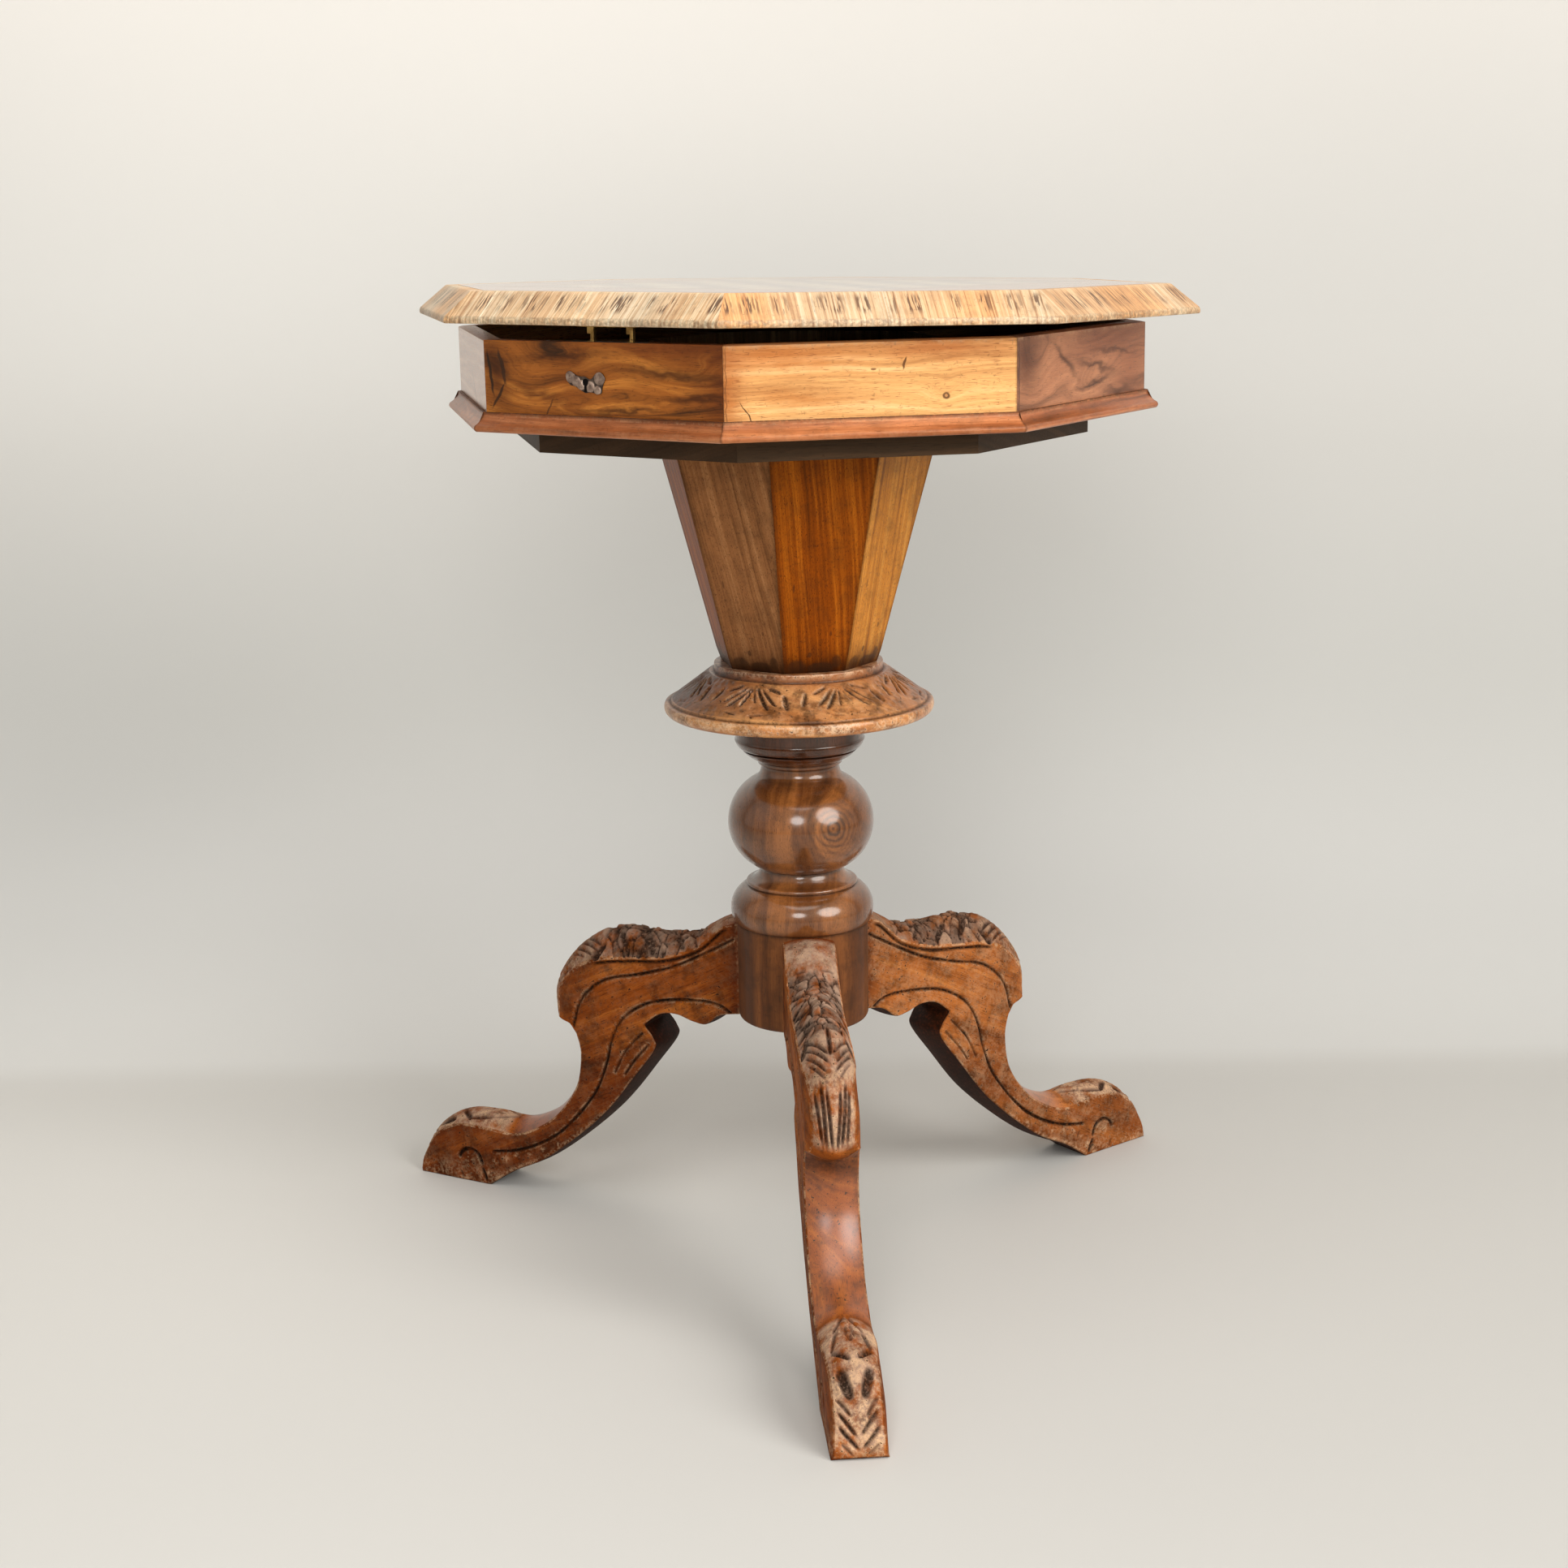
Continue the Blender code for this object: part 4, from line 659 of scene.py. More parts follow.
    # painted shade under the lip at the top of the shin
    underLipShade = spanMask(along, 220, 264, 14)[:, None] * 0.6
    cut = np.concatenate([np.maximum(topCut, underLipShade), cutRight, lowDark, cutRight[:, ::-1]], 1)
    foot = np.clip((22 - sideFlat[..., 1]) / 22, 0, 1) * 0.8
    hem = np.clip(1 - (tall[:, None] - fall) / 5, 0, 1) * spanMask(along, 290, 470, 30)[:, None]
    joint = np.clip(1 - along / 5, 0, 1)[:, None] * 0.7
    beads = np.max([np.exp(-((sideFlat[..., 0] - r) ** 2 + (sideFlat[..., 1] - z) ** 2) / wide ** 2)
                    for r, z, wide in legs["beads"]], axis=0)
    darkAll, darkCarving, rubbedSide = legs["shadingAndRubbing"][number - 1]
    sideWearAndHighlight = np.max(np.broadcast_arrays(foot, hem, joint, grooveHighlight * 0.8, beads, rubbedSide), axis=0)
    rightWearAndHighlight = np.concatenate([arris * 0.8, sideWearAndHighlight, arris * 0.8], 1)
    # worn high points of the carving and of the feet, a painted highlight on the bell's ridges, and wear near the floor
    topWearAndHighlight = (np.clip(carved * (1 - cuts / 1.2), 0, 1) * (0.5 + 0.4 * (spanMask(along, 366, 490, 10) + spanMask(along, 158, 224, 10)))[:, None]
               + np.clip((48 - topFlat[..., 1]) / 40, 0, 1) * 0.6)
    wearAndHighlight = np.concatenate([topWearAndHighlight, rightWearAndHighlight, lowDark * 0, rightWearAndHighlight[:, ::-1]], 1)
    sideCarved = np.zeros_like(rightAcross)
    carvedAll = np.concatenate([carved, sideCarved, lowDark * 0, sideCarved], 1)

    # painted shade: darker against the drum, round the knee, below the knee's sides and underneath
    onSide = np.concatenate([carved * 0, sideCarved + 1, lowDark * 0, sideCarved + 1], 1)
    beneath = np.concatenate([carved * 0, sideCarved, lowDark, sideCarved], 1)
    shade = (0.7 * np.exp(-np.clip(reach - legs["drum"], 0, None) / 12)
             + 0.4 * np.exp(-((reach - 186) / 20) ** 2) * np.clip((height - 140) / 20, 0, 1)
             + (0.12 + 0.44 * onSide) * np.clip((150 - height) / 40, 0, 1)) * (1 - 0.6 * carvedAll) + beneath
    shade = np.clip(shade + darkAll * (1 - carvedAll) + darkCarving * carvedAll, 0, 1)
    # only the front of the shin keeps its polish
    polished = spanMask(along, 226, 362, 12)[:, None]
    matt = np.concatenate([np.broadcast_to(1 - polished, topFlat.shape[:2]), sideCarved + 1, lowDark, sideCarved + 1], 1)
    local[..., 1] += ripple(local, 60.0, 0.25) * np.sign(across)
    out, over = np.array([math.sin(turn), -math.cos(turn), 0]), np.array([math.cos(turn), math.sin(turn), 0])
    points = (local[..., :1] * out + local[..., 1:2] * over + local[..., 2:] * np.array([0, 0, 1])) / 1000 + axis
    # grain runs down the leg from drum to toe
    cos, sin = math.cos(math.radians(legs["grainFall"])), math.sin(math.radians(legs["grainFall"]))
    place = np.stack([local[..., 0] * cos - local[..., 2] * sin, local[..., 1], local[..., 0] * sin + local[..., 2] * cos], -1)
    place = place / 1000 + np.array([0.9 * number, 0.3 * number, 0.0])
    leg = buildPiece(f"cabriole_leg_{number}", points, "carcase", {
        "place": place, "cut": cut[..., None], "wearAndHighlight": wearAndHighlight[..., None], "carved": carvedAll[..., None],
        "shade": shade[..., None], "matt": matt[..., None]}, caps=True, sharp=60)
    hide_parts(f"leg_{number}")
    return leg


for number, (turn, paintedLightTones) in enumerate(zip(legs["turns"], legLightAndShade), 1):
    makeLeg(number, math.radians(turn)).data.materials.append(woodFinish(f"legWalnut{number}", {**legLook, **paintedLightTones}))
print("legs carved")


# Column: a profile of radius and height spun round the axis
column = {"steps": 128, "spacing": 0.0010}
columnLook = {
    "pale": (152, 92, 44), "mid": (106, 59, 25), "dark": (40, 19, 8), "rough": 0.22, "coat": 0.95, "pores": 0.6,
    "knotWay": (0.848, -0.525, 0.06), "knotHigh": 0.3225, "knotOut": 0.052, "ring": 0.0042, "knotReach": 0.0165,
    "sheen": (255, 220, 180)}


def turnedProfile(base, turnings):
    # a turning has its end radius, its rise and, where it is curved, its radius half way up
    line = [np.array([[0.0, base]])]
    for radius, rise, middle in turnings:
        start = line[-1][-1]
        end = (radius, start[1] + rise)
        line.append(np.array([end]) if middle is None
                    else arcThrough(start, (middle, start[1] + rise / 2), end, 24))
    return np.vstack(line)


def evenProfile(line, spacing, passes=1):
    # evenly spaced points, then each one averaged with its neighbours to ease the sharp turns
    lengths = lengthAlong(line)
    even = pointsAt(line, lengths, np.linspace(0, lengths[-1], int(lengths[-1] / spacing)))
    for _ in range(passes):
        even[1:-1] = even[1:-1] / 2 + (even[:-2] + even[2:]) / 4
    return even


def makeColumn():
    line = turnedProfile(drumZ, (
        (0.0435, 0, None), (0.047, 0.0035, 0.0465), (0.047, 0.069, None), (0.0486, 0, None),
        (0.040, 0.0275, 0.051), (0.0386, 0, None), (0.0386, 0.0034, 0.040), (0.0372, 0, None),
        (0.0295, 0.0091, 0.0314), (0.031, 0.0665, 0.0521), (0.0282, 0.0092, 0.0282), (0.030, 0, None),
        (0.030, 0.0028, None), (0.0412, 0.0078, 0.0372), (0.0388, 0, None), (0.0388, 0.0014, None),
        (0.0430, 0, None), (0.0466, 0.0063, 0.0452), (0.0456, 0, None), (0.0456, 0.0105, None),
        (0.043, 0, None), (0.043, 0.0077, None), (0, 0, None)))
    line = evenProfile(line, column["spacing"])[1:-1]
    angle = np.arange(column["steps"]) / column["steps"] * math.tau
    points = np.stack([line[:, :1] * np.sin(angle), -line[:, :1] * np.cos(angle),
                       np.broadcast_to(line[:, 1:], (len(line), len(angle)))], -1) + axis
    # darker where the profile turns inwards: painted shade in the hollows
    bend = np.gradient(np.unwrap(np.arctan2(*np.gradient(line, axis=0).T[::-1])))
    hollow = np.clip(-bend * 2.5, 0, 1)
    hollow = np.convolve(hollow, [0.25, 0.5, 0.25], "same")[:, None, None] * np.ones((1, len(angle), 1))
    # painted shadow below the collar, and painted shade over the drum between the legs
    shaded = (np.clip((line[:, 1] - collarLow + 0.040) / 0.012, 0, 1) * 0.8
              + np.clip((drumZ + 0.076 - line[:, 1]) / 0.004, 0, 1) * 0.45)[:, None, None] * np.ones((1, len(angle), 1))
    piece = buildPiece("turned_stem", points, "carcase", {
        "place": points - axis, "cut": hollow * 0.8, "shade": shaded,
        "matt": np.clip((drumZ + 0.078 - points[..., 2:]) / 0.006, 0, 1)}, caps=True)
    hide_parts("turned_column")
    return piece


def columnFinish():
    material, tree, shader = newMaterial("columnWalnut")
    place = placeOf(tree)
    split = put(tree, "SeparateXYZ", {0: place}).outputs
    upright = put(tree, "CombineXYZ", {0: split[2], 1: split[1], 2: split[0]}).outputs[0]
    way = np.array(columnLook["knotWay"]) / np.linalg.norm(columnLook["knotWay"])
    knot = way * columnLook["knotOut"] + np.array([0, 0, columnLook["knotHigh"]])
    offset = put(tree, "VectorMath", {0: place, 1: tuple(knot)}, operation="SUBTRACT").outputs[0]
    depth = put(tree, "VectorMath", {0: offset, 1: tuple(way)}, operation="DOT_PRODUCT").outputs[1]
    inward = put(tree, "VectorMath", {0: tuple(way), "Scale": depth}, operation="SCALE").outputs[0]
    flat = put(tree, "VectorMath", {0: offset, 1: inward}, operation="SUBTRACT").outputs[0]
    away = put(tree, "VectorMath", {0: flat}, operation="LENGTH").outputs[1]
    front = between(tree, depth, -0.045, -0.020)
    warp = maths(tree, "MULTIPLY", noise(tree, place, (60, 60, 45), 3), 10.0)
    phase = maths(tree, "MULTIPLY_ADD", away, math.tau / columnLook["ring"], warp)
    wave = maths(tree, "MULTIPLY_ADD", maths(tree, "COSINE", phase), 0.5, 0.5)
    near = maths(tree, "DIVIDE", away, columnLook["knotReach"])
    near = maths(tree, "EXPONENT", maths(tree, "MULTIPLY", maths(tree, "MULTIPLY", near, near), -1.0))
    knotShare = maths(tree, "MULTIPLY", maths(tree, "MULTIPLY", near, front), 0.75)
    grain = useGroup(tree, grainGroup, {
        "Place": upright, "Pale": rgb(*columnLook["pale"]), "Mid": rgb(*columnLook["mid"]),
        "Dark": rgb(*columnLook["dark"]), "Lines": 90.0, "Figure": 2.2, "Contrast": 0.75,
        "Pores": columnLook["pores"], "Swirl": maths(tree, "MULTIPLY", knotShare, 3.0)})
    # rings round the knot: a wave of the distance from the knot's own axis, fading with that distance
    pale = maths(tree, "MULTIPLY", maths(tree, "SUBTRACT", 1.0, wave), maths(tree, "MULTIPLY", knotShare, 0.6))
    colour = blend(tree, pale, grain["Colour"], rgb(*columnLook["pale"]))
    colour = blend(tree, maths(tree, "MULTIPLY", maths(tree, "POWER", wave, 2.0), knotShare), colour,
                   rgb(*columnLook["dark"]))
    cut, shade, matt = (put(tree, "Attribute", attribute_name=label).outputs["Fac"] for label in ("cut", "shade", "matt"))
    agedAndShaded = useGroup(tree, agedAndShadedGroup, {
        "Place": place, "Colour": colour, "Cut": cut, "WearAndHighlight": 0.0, "Carved": 0.0, "Shade": shade,
        "DirtAndShade": rgb(26, 13, 7), "WornAndHighlight": rgb(190, 140, 95), "Greyed": rgb(120, 95, 75), "Knocks": 0.4, "Mottle": 0.5})
    tree.links.new(agedAndShaded["Colour"], shader.inputs["Base Color"])
    polish = maths(tree, "MULTIPLY_ADD", grain["Height"], 0.10, columnLook["rough"])
    polish = maths(tree, "MULTIPLY_ADD", matt, 0.30, polish)
    tree.links.new(maths(tree, "ADD", polish, agedAndShaded["Rough"]), shader.inputs["Roughness"])
    bump = put(tree, "Bump", {"Height": grain["Height"], "Strength": 0.2, "Distance": 0.0003})
    tree.links.new(bump.outputs[0], shader.inputs["Normal"])
    shader.inputs["Specular Tint"].default_value = rgb(*columnLook["sheen"])
    tree.links.new(maths(tree, "MULTIPLY_ADD", matt, -0.85 * columnLook["coat"], columnLook["coat"]), shader.inputs["Coat Weight"])
    shader.inputs["Specular IOR Level"].default_value = 0.3
    shader.inputs["Coat Roughness"].default_value = 0.15
    return material


makeColumn().data.materials.append(columnFinish())
print("column turned")


# Collar: a spun profile whose slope carries leaf sprays
collar = {
    "steps": 480, "spacing": 0.0009, "bore": 0.0163, "sprays": 7, "firstSpray": 56.7,
    # strokes of one spray: across (mm at the slope), down the slope (mm), to across, to down, width, depth
    "spray": [(-1.5, 3, -15, 24, 3.4, 1.6), (-5.5, 3, -20, 20, 3.2, 1.5), (-0.4, 4, -4.5, 22, 3.0, 1.4),
              (3.0, 3, 17.5, 24, 3.4, 1.6), (7.0, 3, 22, 20, 3.2, 1.5), (1.6, 6, 6.2, 18, 2.4, 1.0),
              (11, 2.0, 24, 8, 4.0, 1.3), (-10, 2.0, -23, 9, 4.0, 1.3), (26, 8, 30, 24, 5.0, 1.3),
              (-27, 6, -30, 20, 4.4, 1.3), (-14, 27, -3, 29, 2.4, 0.8), (4, 29, 16, 27, 2.4, 0.8)]}
collarLook = {
    "pale": (238, 172, 106), "mid": (192, 122, 67), "dark": (84, 42, 18), "lines": 110.0, "figure": 2.6, "contrast": 0.9,
    "rough": 0.26, "coat": 0.45, "dirtAndShade": (30, 16, 9), "wornAndHighlight": (240, 200, 160), "greyed": (206, 156, 112), "knocks": 0.9,
    "mottle": 0.9, "wearAndHighlightShare": 0.8, "sheen": (255, 232, 210)}


def makeCollar():
    noseTop, ringFoot = collarLow + 0.0115, collarHigh - 0.006
    outline = np.vstack([
        [(collar["bore"], collarLow), (0.0893, collarLow)],
        arcThrough((0.0893, collarLow), (0.0953, collarLow + 0.00575), (0.0942, noseTop - 0.0022), 14),
        [(0.0909, noseTop - 0.0022), (0.0898, noseTop), (0.0635, ringFoot), (0.0595, ringFoot),
         (0.0595, collarHigh), (collar["bore"], collarHigh)]])
    soft = softCorners(outline, 0.0008, 3)
    line = evenOutline(soft, collar["spacing"])
    # the flat faces that other pieces cover keep only their corners
    own = (np.abs(line[:, None] - soft).sum(2) < 1e-6).any(1)
    line = line[own | ((line[:, 0] > 0.0585) & (line[:, 1] > collarLow + 1e-5))]
    angle = np.arange(collar["steps"]) / collar["steps"] * math.tau
    # place on the slope: down it from the ring, and round it from the nearest spray's middle
    slope = np.array([0.0898 - 0.0635, noseTop - ringFoot])
    wayDown = slope / np.linalg.norm(slope)
    down = (line - np.array([0.0635, ringFoot])) @ wayDown
    offSlope = np.abs((line - np.array([0.0635, ringFoot])) @ np.array([-wayDown[1], wayDown[0]]))
    onSlope = (offSlope < 0.0006) & (down > 0) & (down < np.linalg.norm(slope))
    each = math.tau / collar["sprays"]
    turned = (angle - math.radians(collar["firstSpray"]) + each / 2) % each - each / 2
    at = np.stack(np.broadcast_arrays(turned[None] * 78.0, (down * 1000)[:, None]), -1).reshape(-1, 2)
    depth = gouges(at, collar["spray"]).reshape(len(line), -1) * onSlope[:, None]
    depth = depth * (1 + 0.35 * np.sin(angle * 3 + 1.0))
    dented = np.stack(np.broadcast_arrays(angle[None] * 78.0, (down * 1000)[:, None], 0.0), -1)
    depth = depth + np.abs(ripple(dented, 11.0, 0.5)) * onSlope[:, None]
    inward = np.array([wayDown[1], -wayDown[0]])
    sunk = line[:, None] + depth[..., None] / 1000 * inward
    points = np.stack([sunk[..., 0] * np.sin(angle), -sunk[..., 0] * np.cos(angle), sunk[..., 1]], -1) + axis
    carved = (onSlope * 0.35)[:, None] * np.ones_like(angle)
    # painted shade on the collar's left, away from the key lamp, half as much off the slope, and on its top ring
    leftSide = np.clip(-np.cos(angle - math.radians(112)), 0, 1) + np.clip(np.cos(angle - math.radians(122)), 0, 1) ** 4 * 0.5
    onRing = line[:, 1] > ringFoot + 0.0002
    shade = np.broadcast_to(leftSide, carved.shape) * np.where(onSlope, 1.0, 0.5)[:, None] + 0.45 * onRing[:, None]
    shade = np.clip(shade, 0, 1)
    # dark in the gouges, and painted shade in the crease under the nose and at the ring's foot
    crease = np.clip(1 - np.linalg.norm(line - np.array([0.0909, noseTop - 0.002]), axis=1) / 0.0022, 0, 1)
    crease = np.maximum(crease, np.clip(1 - np.linalg.norm(line - np.array([0.0597, ringFoot]), axis=1) / 0.002, 0, 1))
    cut = np.maximum(np.clip((depth - 0.35) / 0.9, 0, 1) * 0.92, crease[:, None] * 0.85)
    # more painted shade on the left slope, through the cut mask
    leftSlopeShade = 0.42 * np.clip(-np.cos(angle - math.radians(112)), 0, 1) ** 2
    cut = np.maximum(cut, onSlope[:, None] * leftSlopeShade)
    # painted highlights along the nose's edge and the ring's top edge
    rimHighlight = np.maximum(np.exp(-((line[:, 0] - 0.0950) / 0.0014) ** 2),
                     np.exp(-(np.linalg.norm(line - np.array([0.0595, collarHigh]), axis=1) / 0.0026) ** 2))
    rimHighlight = rimHighlight[:, None] * np.ones_like(angle)
    # painted highlight on one side of each gouge
    gougeHighlight = np.clip(np.gradient(depth, axis=1) * 1.5, 0, 1)
    piece = buildPiece("leaf_collar", points, "carcase", {
        "place": points - axis, "cut": cut[..., None], "wearAndHighlight": np.maximum(rimHighlight, gougeHighlight)[..., None],
        "carved": carved[..., None], "shade": shade[..., None]}, ring=True, sharp=50)
    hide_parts("carved_collar")
    return piece


makeCollar().data.materials.append(woodFinish("collarWalnut", collarLook))
print("collar carved")


# Mitred lengths: a closed profile of distance from the axis and height, run along one side of the octagon
def makeMitred(name, profile, side, body, node, steps=60, gap=0.00003, back=0.0, tilted=False, darkTop=False,
               soil=0.0012):
    turn = side * math.tau / sides
    reach = profile[:, 0] * mitre - gap
    share = np.linspace(-1, 1, steps)
    share = np.concatenate([[-1, -0.985], share[1:-1] * 0.975, [0.985, 1]])  # close stations at the mitres
    along = share[:, None] * reach
    out, over = np.array([math.sin(turn), -math.cos(turn), 0]), np.array([math.cos(turn), math.sin(turn), 0])
    away = np.broadcast_to(profile[:, 0], along.shape)
    up = np.broadcast_to(profile[:, 1], along.shape)
    points = away[..., None] * out + along[..., None] * over + up[..., None] * np.array([0, 0, 1]) + axis
    points[..., 1] += back
    if tilted:
        rel = points - lidHinge
        cos, sin = math.cos(-lidAjar), math.sin(-lidAjar)
        points = lidHinge + np.stack([rel[..., 0], rel[..., 1] * cos - rel[..., 2] * sin,
                                      rel[..., 1] * sin + rel[..., 2] * cos], -1)
    # worn where the profile turns sharply outwards, and at both mitres
    closed = np.vstack([profile[-1:], profile, profile[:1]])
    step = np.diff(closed, axis=0)
    bend = np.abs((np.diff(np.arctan2(step[:, 1], step[:, 0])) + math.pi) % math.tau - math.pi)
    corner = np.clip(bend * 2.0, 0, 1)
    ends = np.clip(1 - (reach - np.abs(along)) / soil, 0, 1)
    wearAndHighlight = np.broadcast_to(corner, along.shape)
    place = np.stack([along + 0.61 * side, away, up], -1)
    cut = ends * 0.55
    if darkTop:  # dirt where the top meets the piece behind
        cut = np.maximum(cut, (profile[:, 1] > profile[:, 1].max() - 0.0004) * 0.85)
    piece = buildPiece(name, points, body, {"place": place, "wearAndHighlight": wearAndHighlight[..., None], "cut": cut[..., None]},
                       caps=True, sharp=40)
    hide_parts(node)
    return piece


# Lid bands: crossbanded bevels. Grain runs across the band, so streaks stand side by side along it.
lid = {"flats": 0.2505, "core": 0.2238, "bevel": 0.0185, "edge": 0.0038, "low": caseHigh + 0.002,
       "thick": 0.0198, "back": 0.0075, "soft": 0.0012}
bandLook = {"pale": (244, 234, 208), "mid": (226, 195, 156), "dark": (165, 119, 81), "lines": 760.0, "figure": 1.0,
            "contrast": 0.95, "pores": 0.5, "rough": 0.42, "coat": 0.05, "knocks": 0.35, "dirtAndShade": (74, 50, 30),
            "wornAndHighlight": (246, 224, 184), "dash": (86, 50, 25), "warm": (255, 226, 190)}


def bandFinish(name, paintedShadeCast):
    material, tree, shader = newMaterial(name)
    place = placeOf(tree)
    split = put(tree, "SeparateXYZ", {0: place}).outputs
    across = put(tree, "CombineXYZ", {0: split[1], 1: 0.0, 2: split[0]}).outputs[0]
    grain = useGroup(tree, grainGroup, {
        "Place": across, "Pale": rgb(*bandLook["pale"]), "Mid": rgb(*bandLook["mid"]), "Dark": rgb(*bandLook["dark"]),
        "Lines": bandLook["lines"], "Figure": bandLook["figure"], "Contrast": bandLook["contrast"],
        "Pores": bandLook["pores"]})
    # short dark streaks in clusters along the band, thickest in its middle
    cluster = between(tree, noise(tree, place, (60, 0, 0), 2), 0.44, 0.56)
    streak = between(tree, noise(tree, place, (640, 50, 50), 2, 0.6), 0.48, 0.56)
    middle = between(tree, maths(tree, "ABSOLUTE", maths(tree, "SUBTRACT", split[1], 0.2400)), 0.0078, 0.003)
    dash = maths(tree, "MULTIPLY", maths(tree, "MULTIPLY", cluster, streak), middle)
    # some stretches are redder than others
    warm = between(tree, noise(tree, place, (11, 0, 0), 1), 0.40, 0.60)
    colour = blend(tree, warm, grain["Colour"], rgb(*bandLook["warm"]), "MULTIPLY")
    # painted shade: the colour multiplied by the cast, which is darker on the sides that face the key lamp
    colour = blend(tree, 1.0, colour, rgb(*paintedShadeCast), "MULTIPLY")
    colour = blend(tree, maths(tree, "MULTIPLY", dash, 0.92), colour, rgb(*bandLook["dash"]))
    # grime along the lower edge
    grime = between(tree, split[1], 0.2489, 0.2503)
    grime = maths(tree, "MULTIPLY", grime, between(tree, noise(tree, place, (500, 500, 500), 3), 0.30, 0.62))
    colour = blend(tree, maths(tree, "MULTIPLY", grime, 0.55), colour, rgb(*bandLook["dirtAndShade"]))
    wearAndHighlight = put(tree, "Attribute", attribute_name="wearAndHighlight").outputs["Fac"]
    agedAndShaded = useGroup(tree, agedAndShadedGroup, {
        "Place": place, "Colour": colour, "Cut": 0.0, "WearAndHighlight": maths(tree, "MULTIPLY", wearAndHighlight, 0.5), "Carved": 0.0,
        "DirtAndShade": rgb(*bandLook["dirtAndShade"]), "WornAndHighlight": rgb(*bandLook["wornAndHighlight"]), "Greyed": rgb(160, 130, 100),
        "Knocks": bandLook["knocks"], "Mottle": 0.25})
    tree.links.new(agedAndShaded["Colour"], shader.inputs["Base Color"])
    polish = maths(tree, "MULTIPLY_ADD", grain["Height"], 0.10, bandLook["rough"])
    tree.links.new(maths(tree, "ADD", polish, agedAndShaded["Rough"]), shader.inputs["Roughness"])
    bump = put(tree, "Bump", {"Height": grain["Height"], "Strength": 0.3, "Distance": 0.0004})
    tree.links.new(bump.outputs[0], shader.inputs["Normal"])
    shader.inputs["Coat Weight"].default_value = bandLook["coat"]
    return material


bandProfile = softCorners([
    (lid["core"], lid["low"]), (lid["flats"], lid["low"]), (lid["flats"], lid["low"] + lid["edge"]),
    (lid["flats"] - lid["bevel"], lid["low"] + lid["thick"]), (lid["core"], lid["low"] + lid["thick"])], lid["soft"], 4)
bandProfile = evenOutline(bandProfile, 0.003)
# sides 1 to 4, which face the key lamp, get the painted shade cast
bandMaterials = [bandFinish("paleBanding", (255, 255, 255)), bandFinish("keySideShadedBanding", (235, 224, 212))]
for side in range(sides):
    makeMitred(f"crossband_{side + 1}", bandProfile, side, "lid", f"lid_band_{side + 1}", steps=90,
               back=lid["back"], tilted=True).data.materials.append(bandMaterials[0 < side < 5])
print("lid bands laid")


# Frieze panels: veneers, each with its own figure. Marks are places along, out and up in metres.
case = {"out": 0.220, "inside": 0.208, "soft": 0.0007}
panelHigh = caseHigh - 0.0573 / 2
goldVeneer = {"pale": (248, 200, 138), "mid": (224, 166, 102), "dark": (138, 80, 34), "lines": 190.0, "figure": 3.2,
              "contrast": 0.5, "pores": 0.9, "rough": 0.30, "coat": 0.12, "knocks": 0.3}
darkVeneer = {"pale": (230, 148, 64), "mid": (170, 97, 36), "dark": (38, 16, 4), "lines": 105.0, "figure": 4.6,
              "contrast": 1.0, "pores": 0.7, "rough": 0.28, "coat": 0.12, "knocks": 0.3}
swirlVeneer = {"pale": (192, 131, 92), "mid": (170, 112, 78), "dark": (52, 28, 19), "lines": 95.0, "figure": 3.6,
               "contrast": 0.72, "pores": 0.6, "rough": 0.28, "coat": 0.15, "knocks": 0.25}
greyVeneer = {"pale": (226, 180, 150), "mid": (204, 152, 122), "dark": (124, 86, 64), "lines": 140.0, "figure": 3.0,
              "contrast": 0.4, "pores": 0.6, "rough": 0.25, "shine": 0.5, "coat": 0.6, "coatRough": 0.18, "knocks": 0.3}
panelLooks = [darkVeneer, goldVeneer, swirlVeneer, goldVeneer, darkVeneer, swirlVeneer, goldVeneer, greyVeneer]
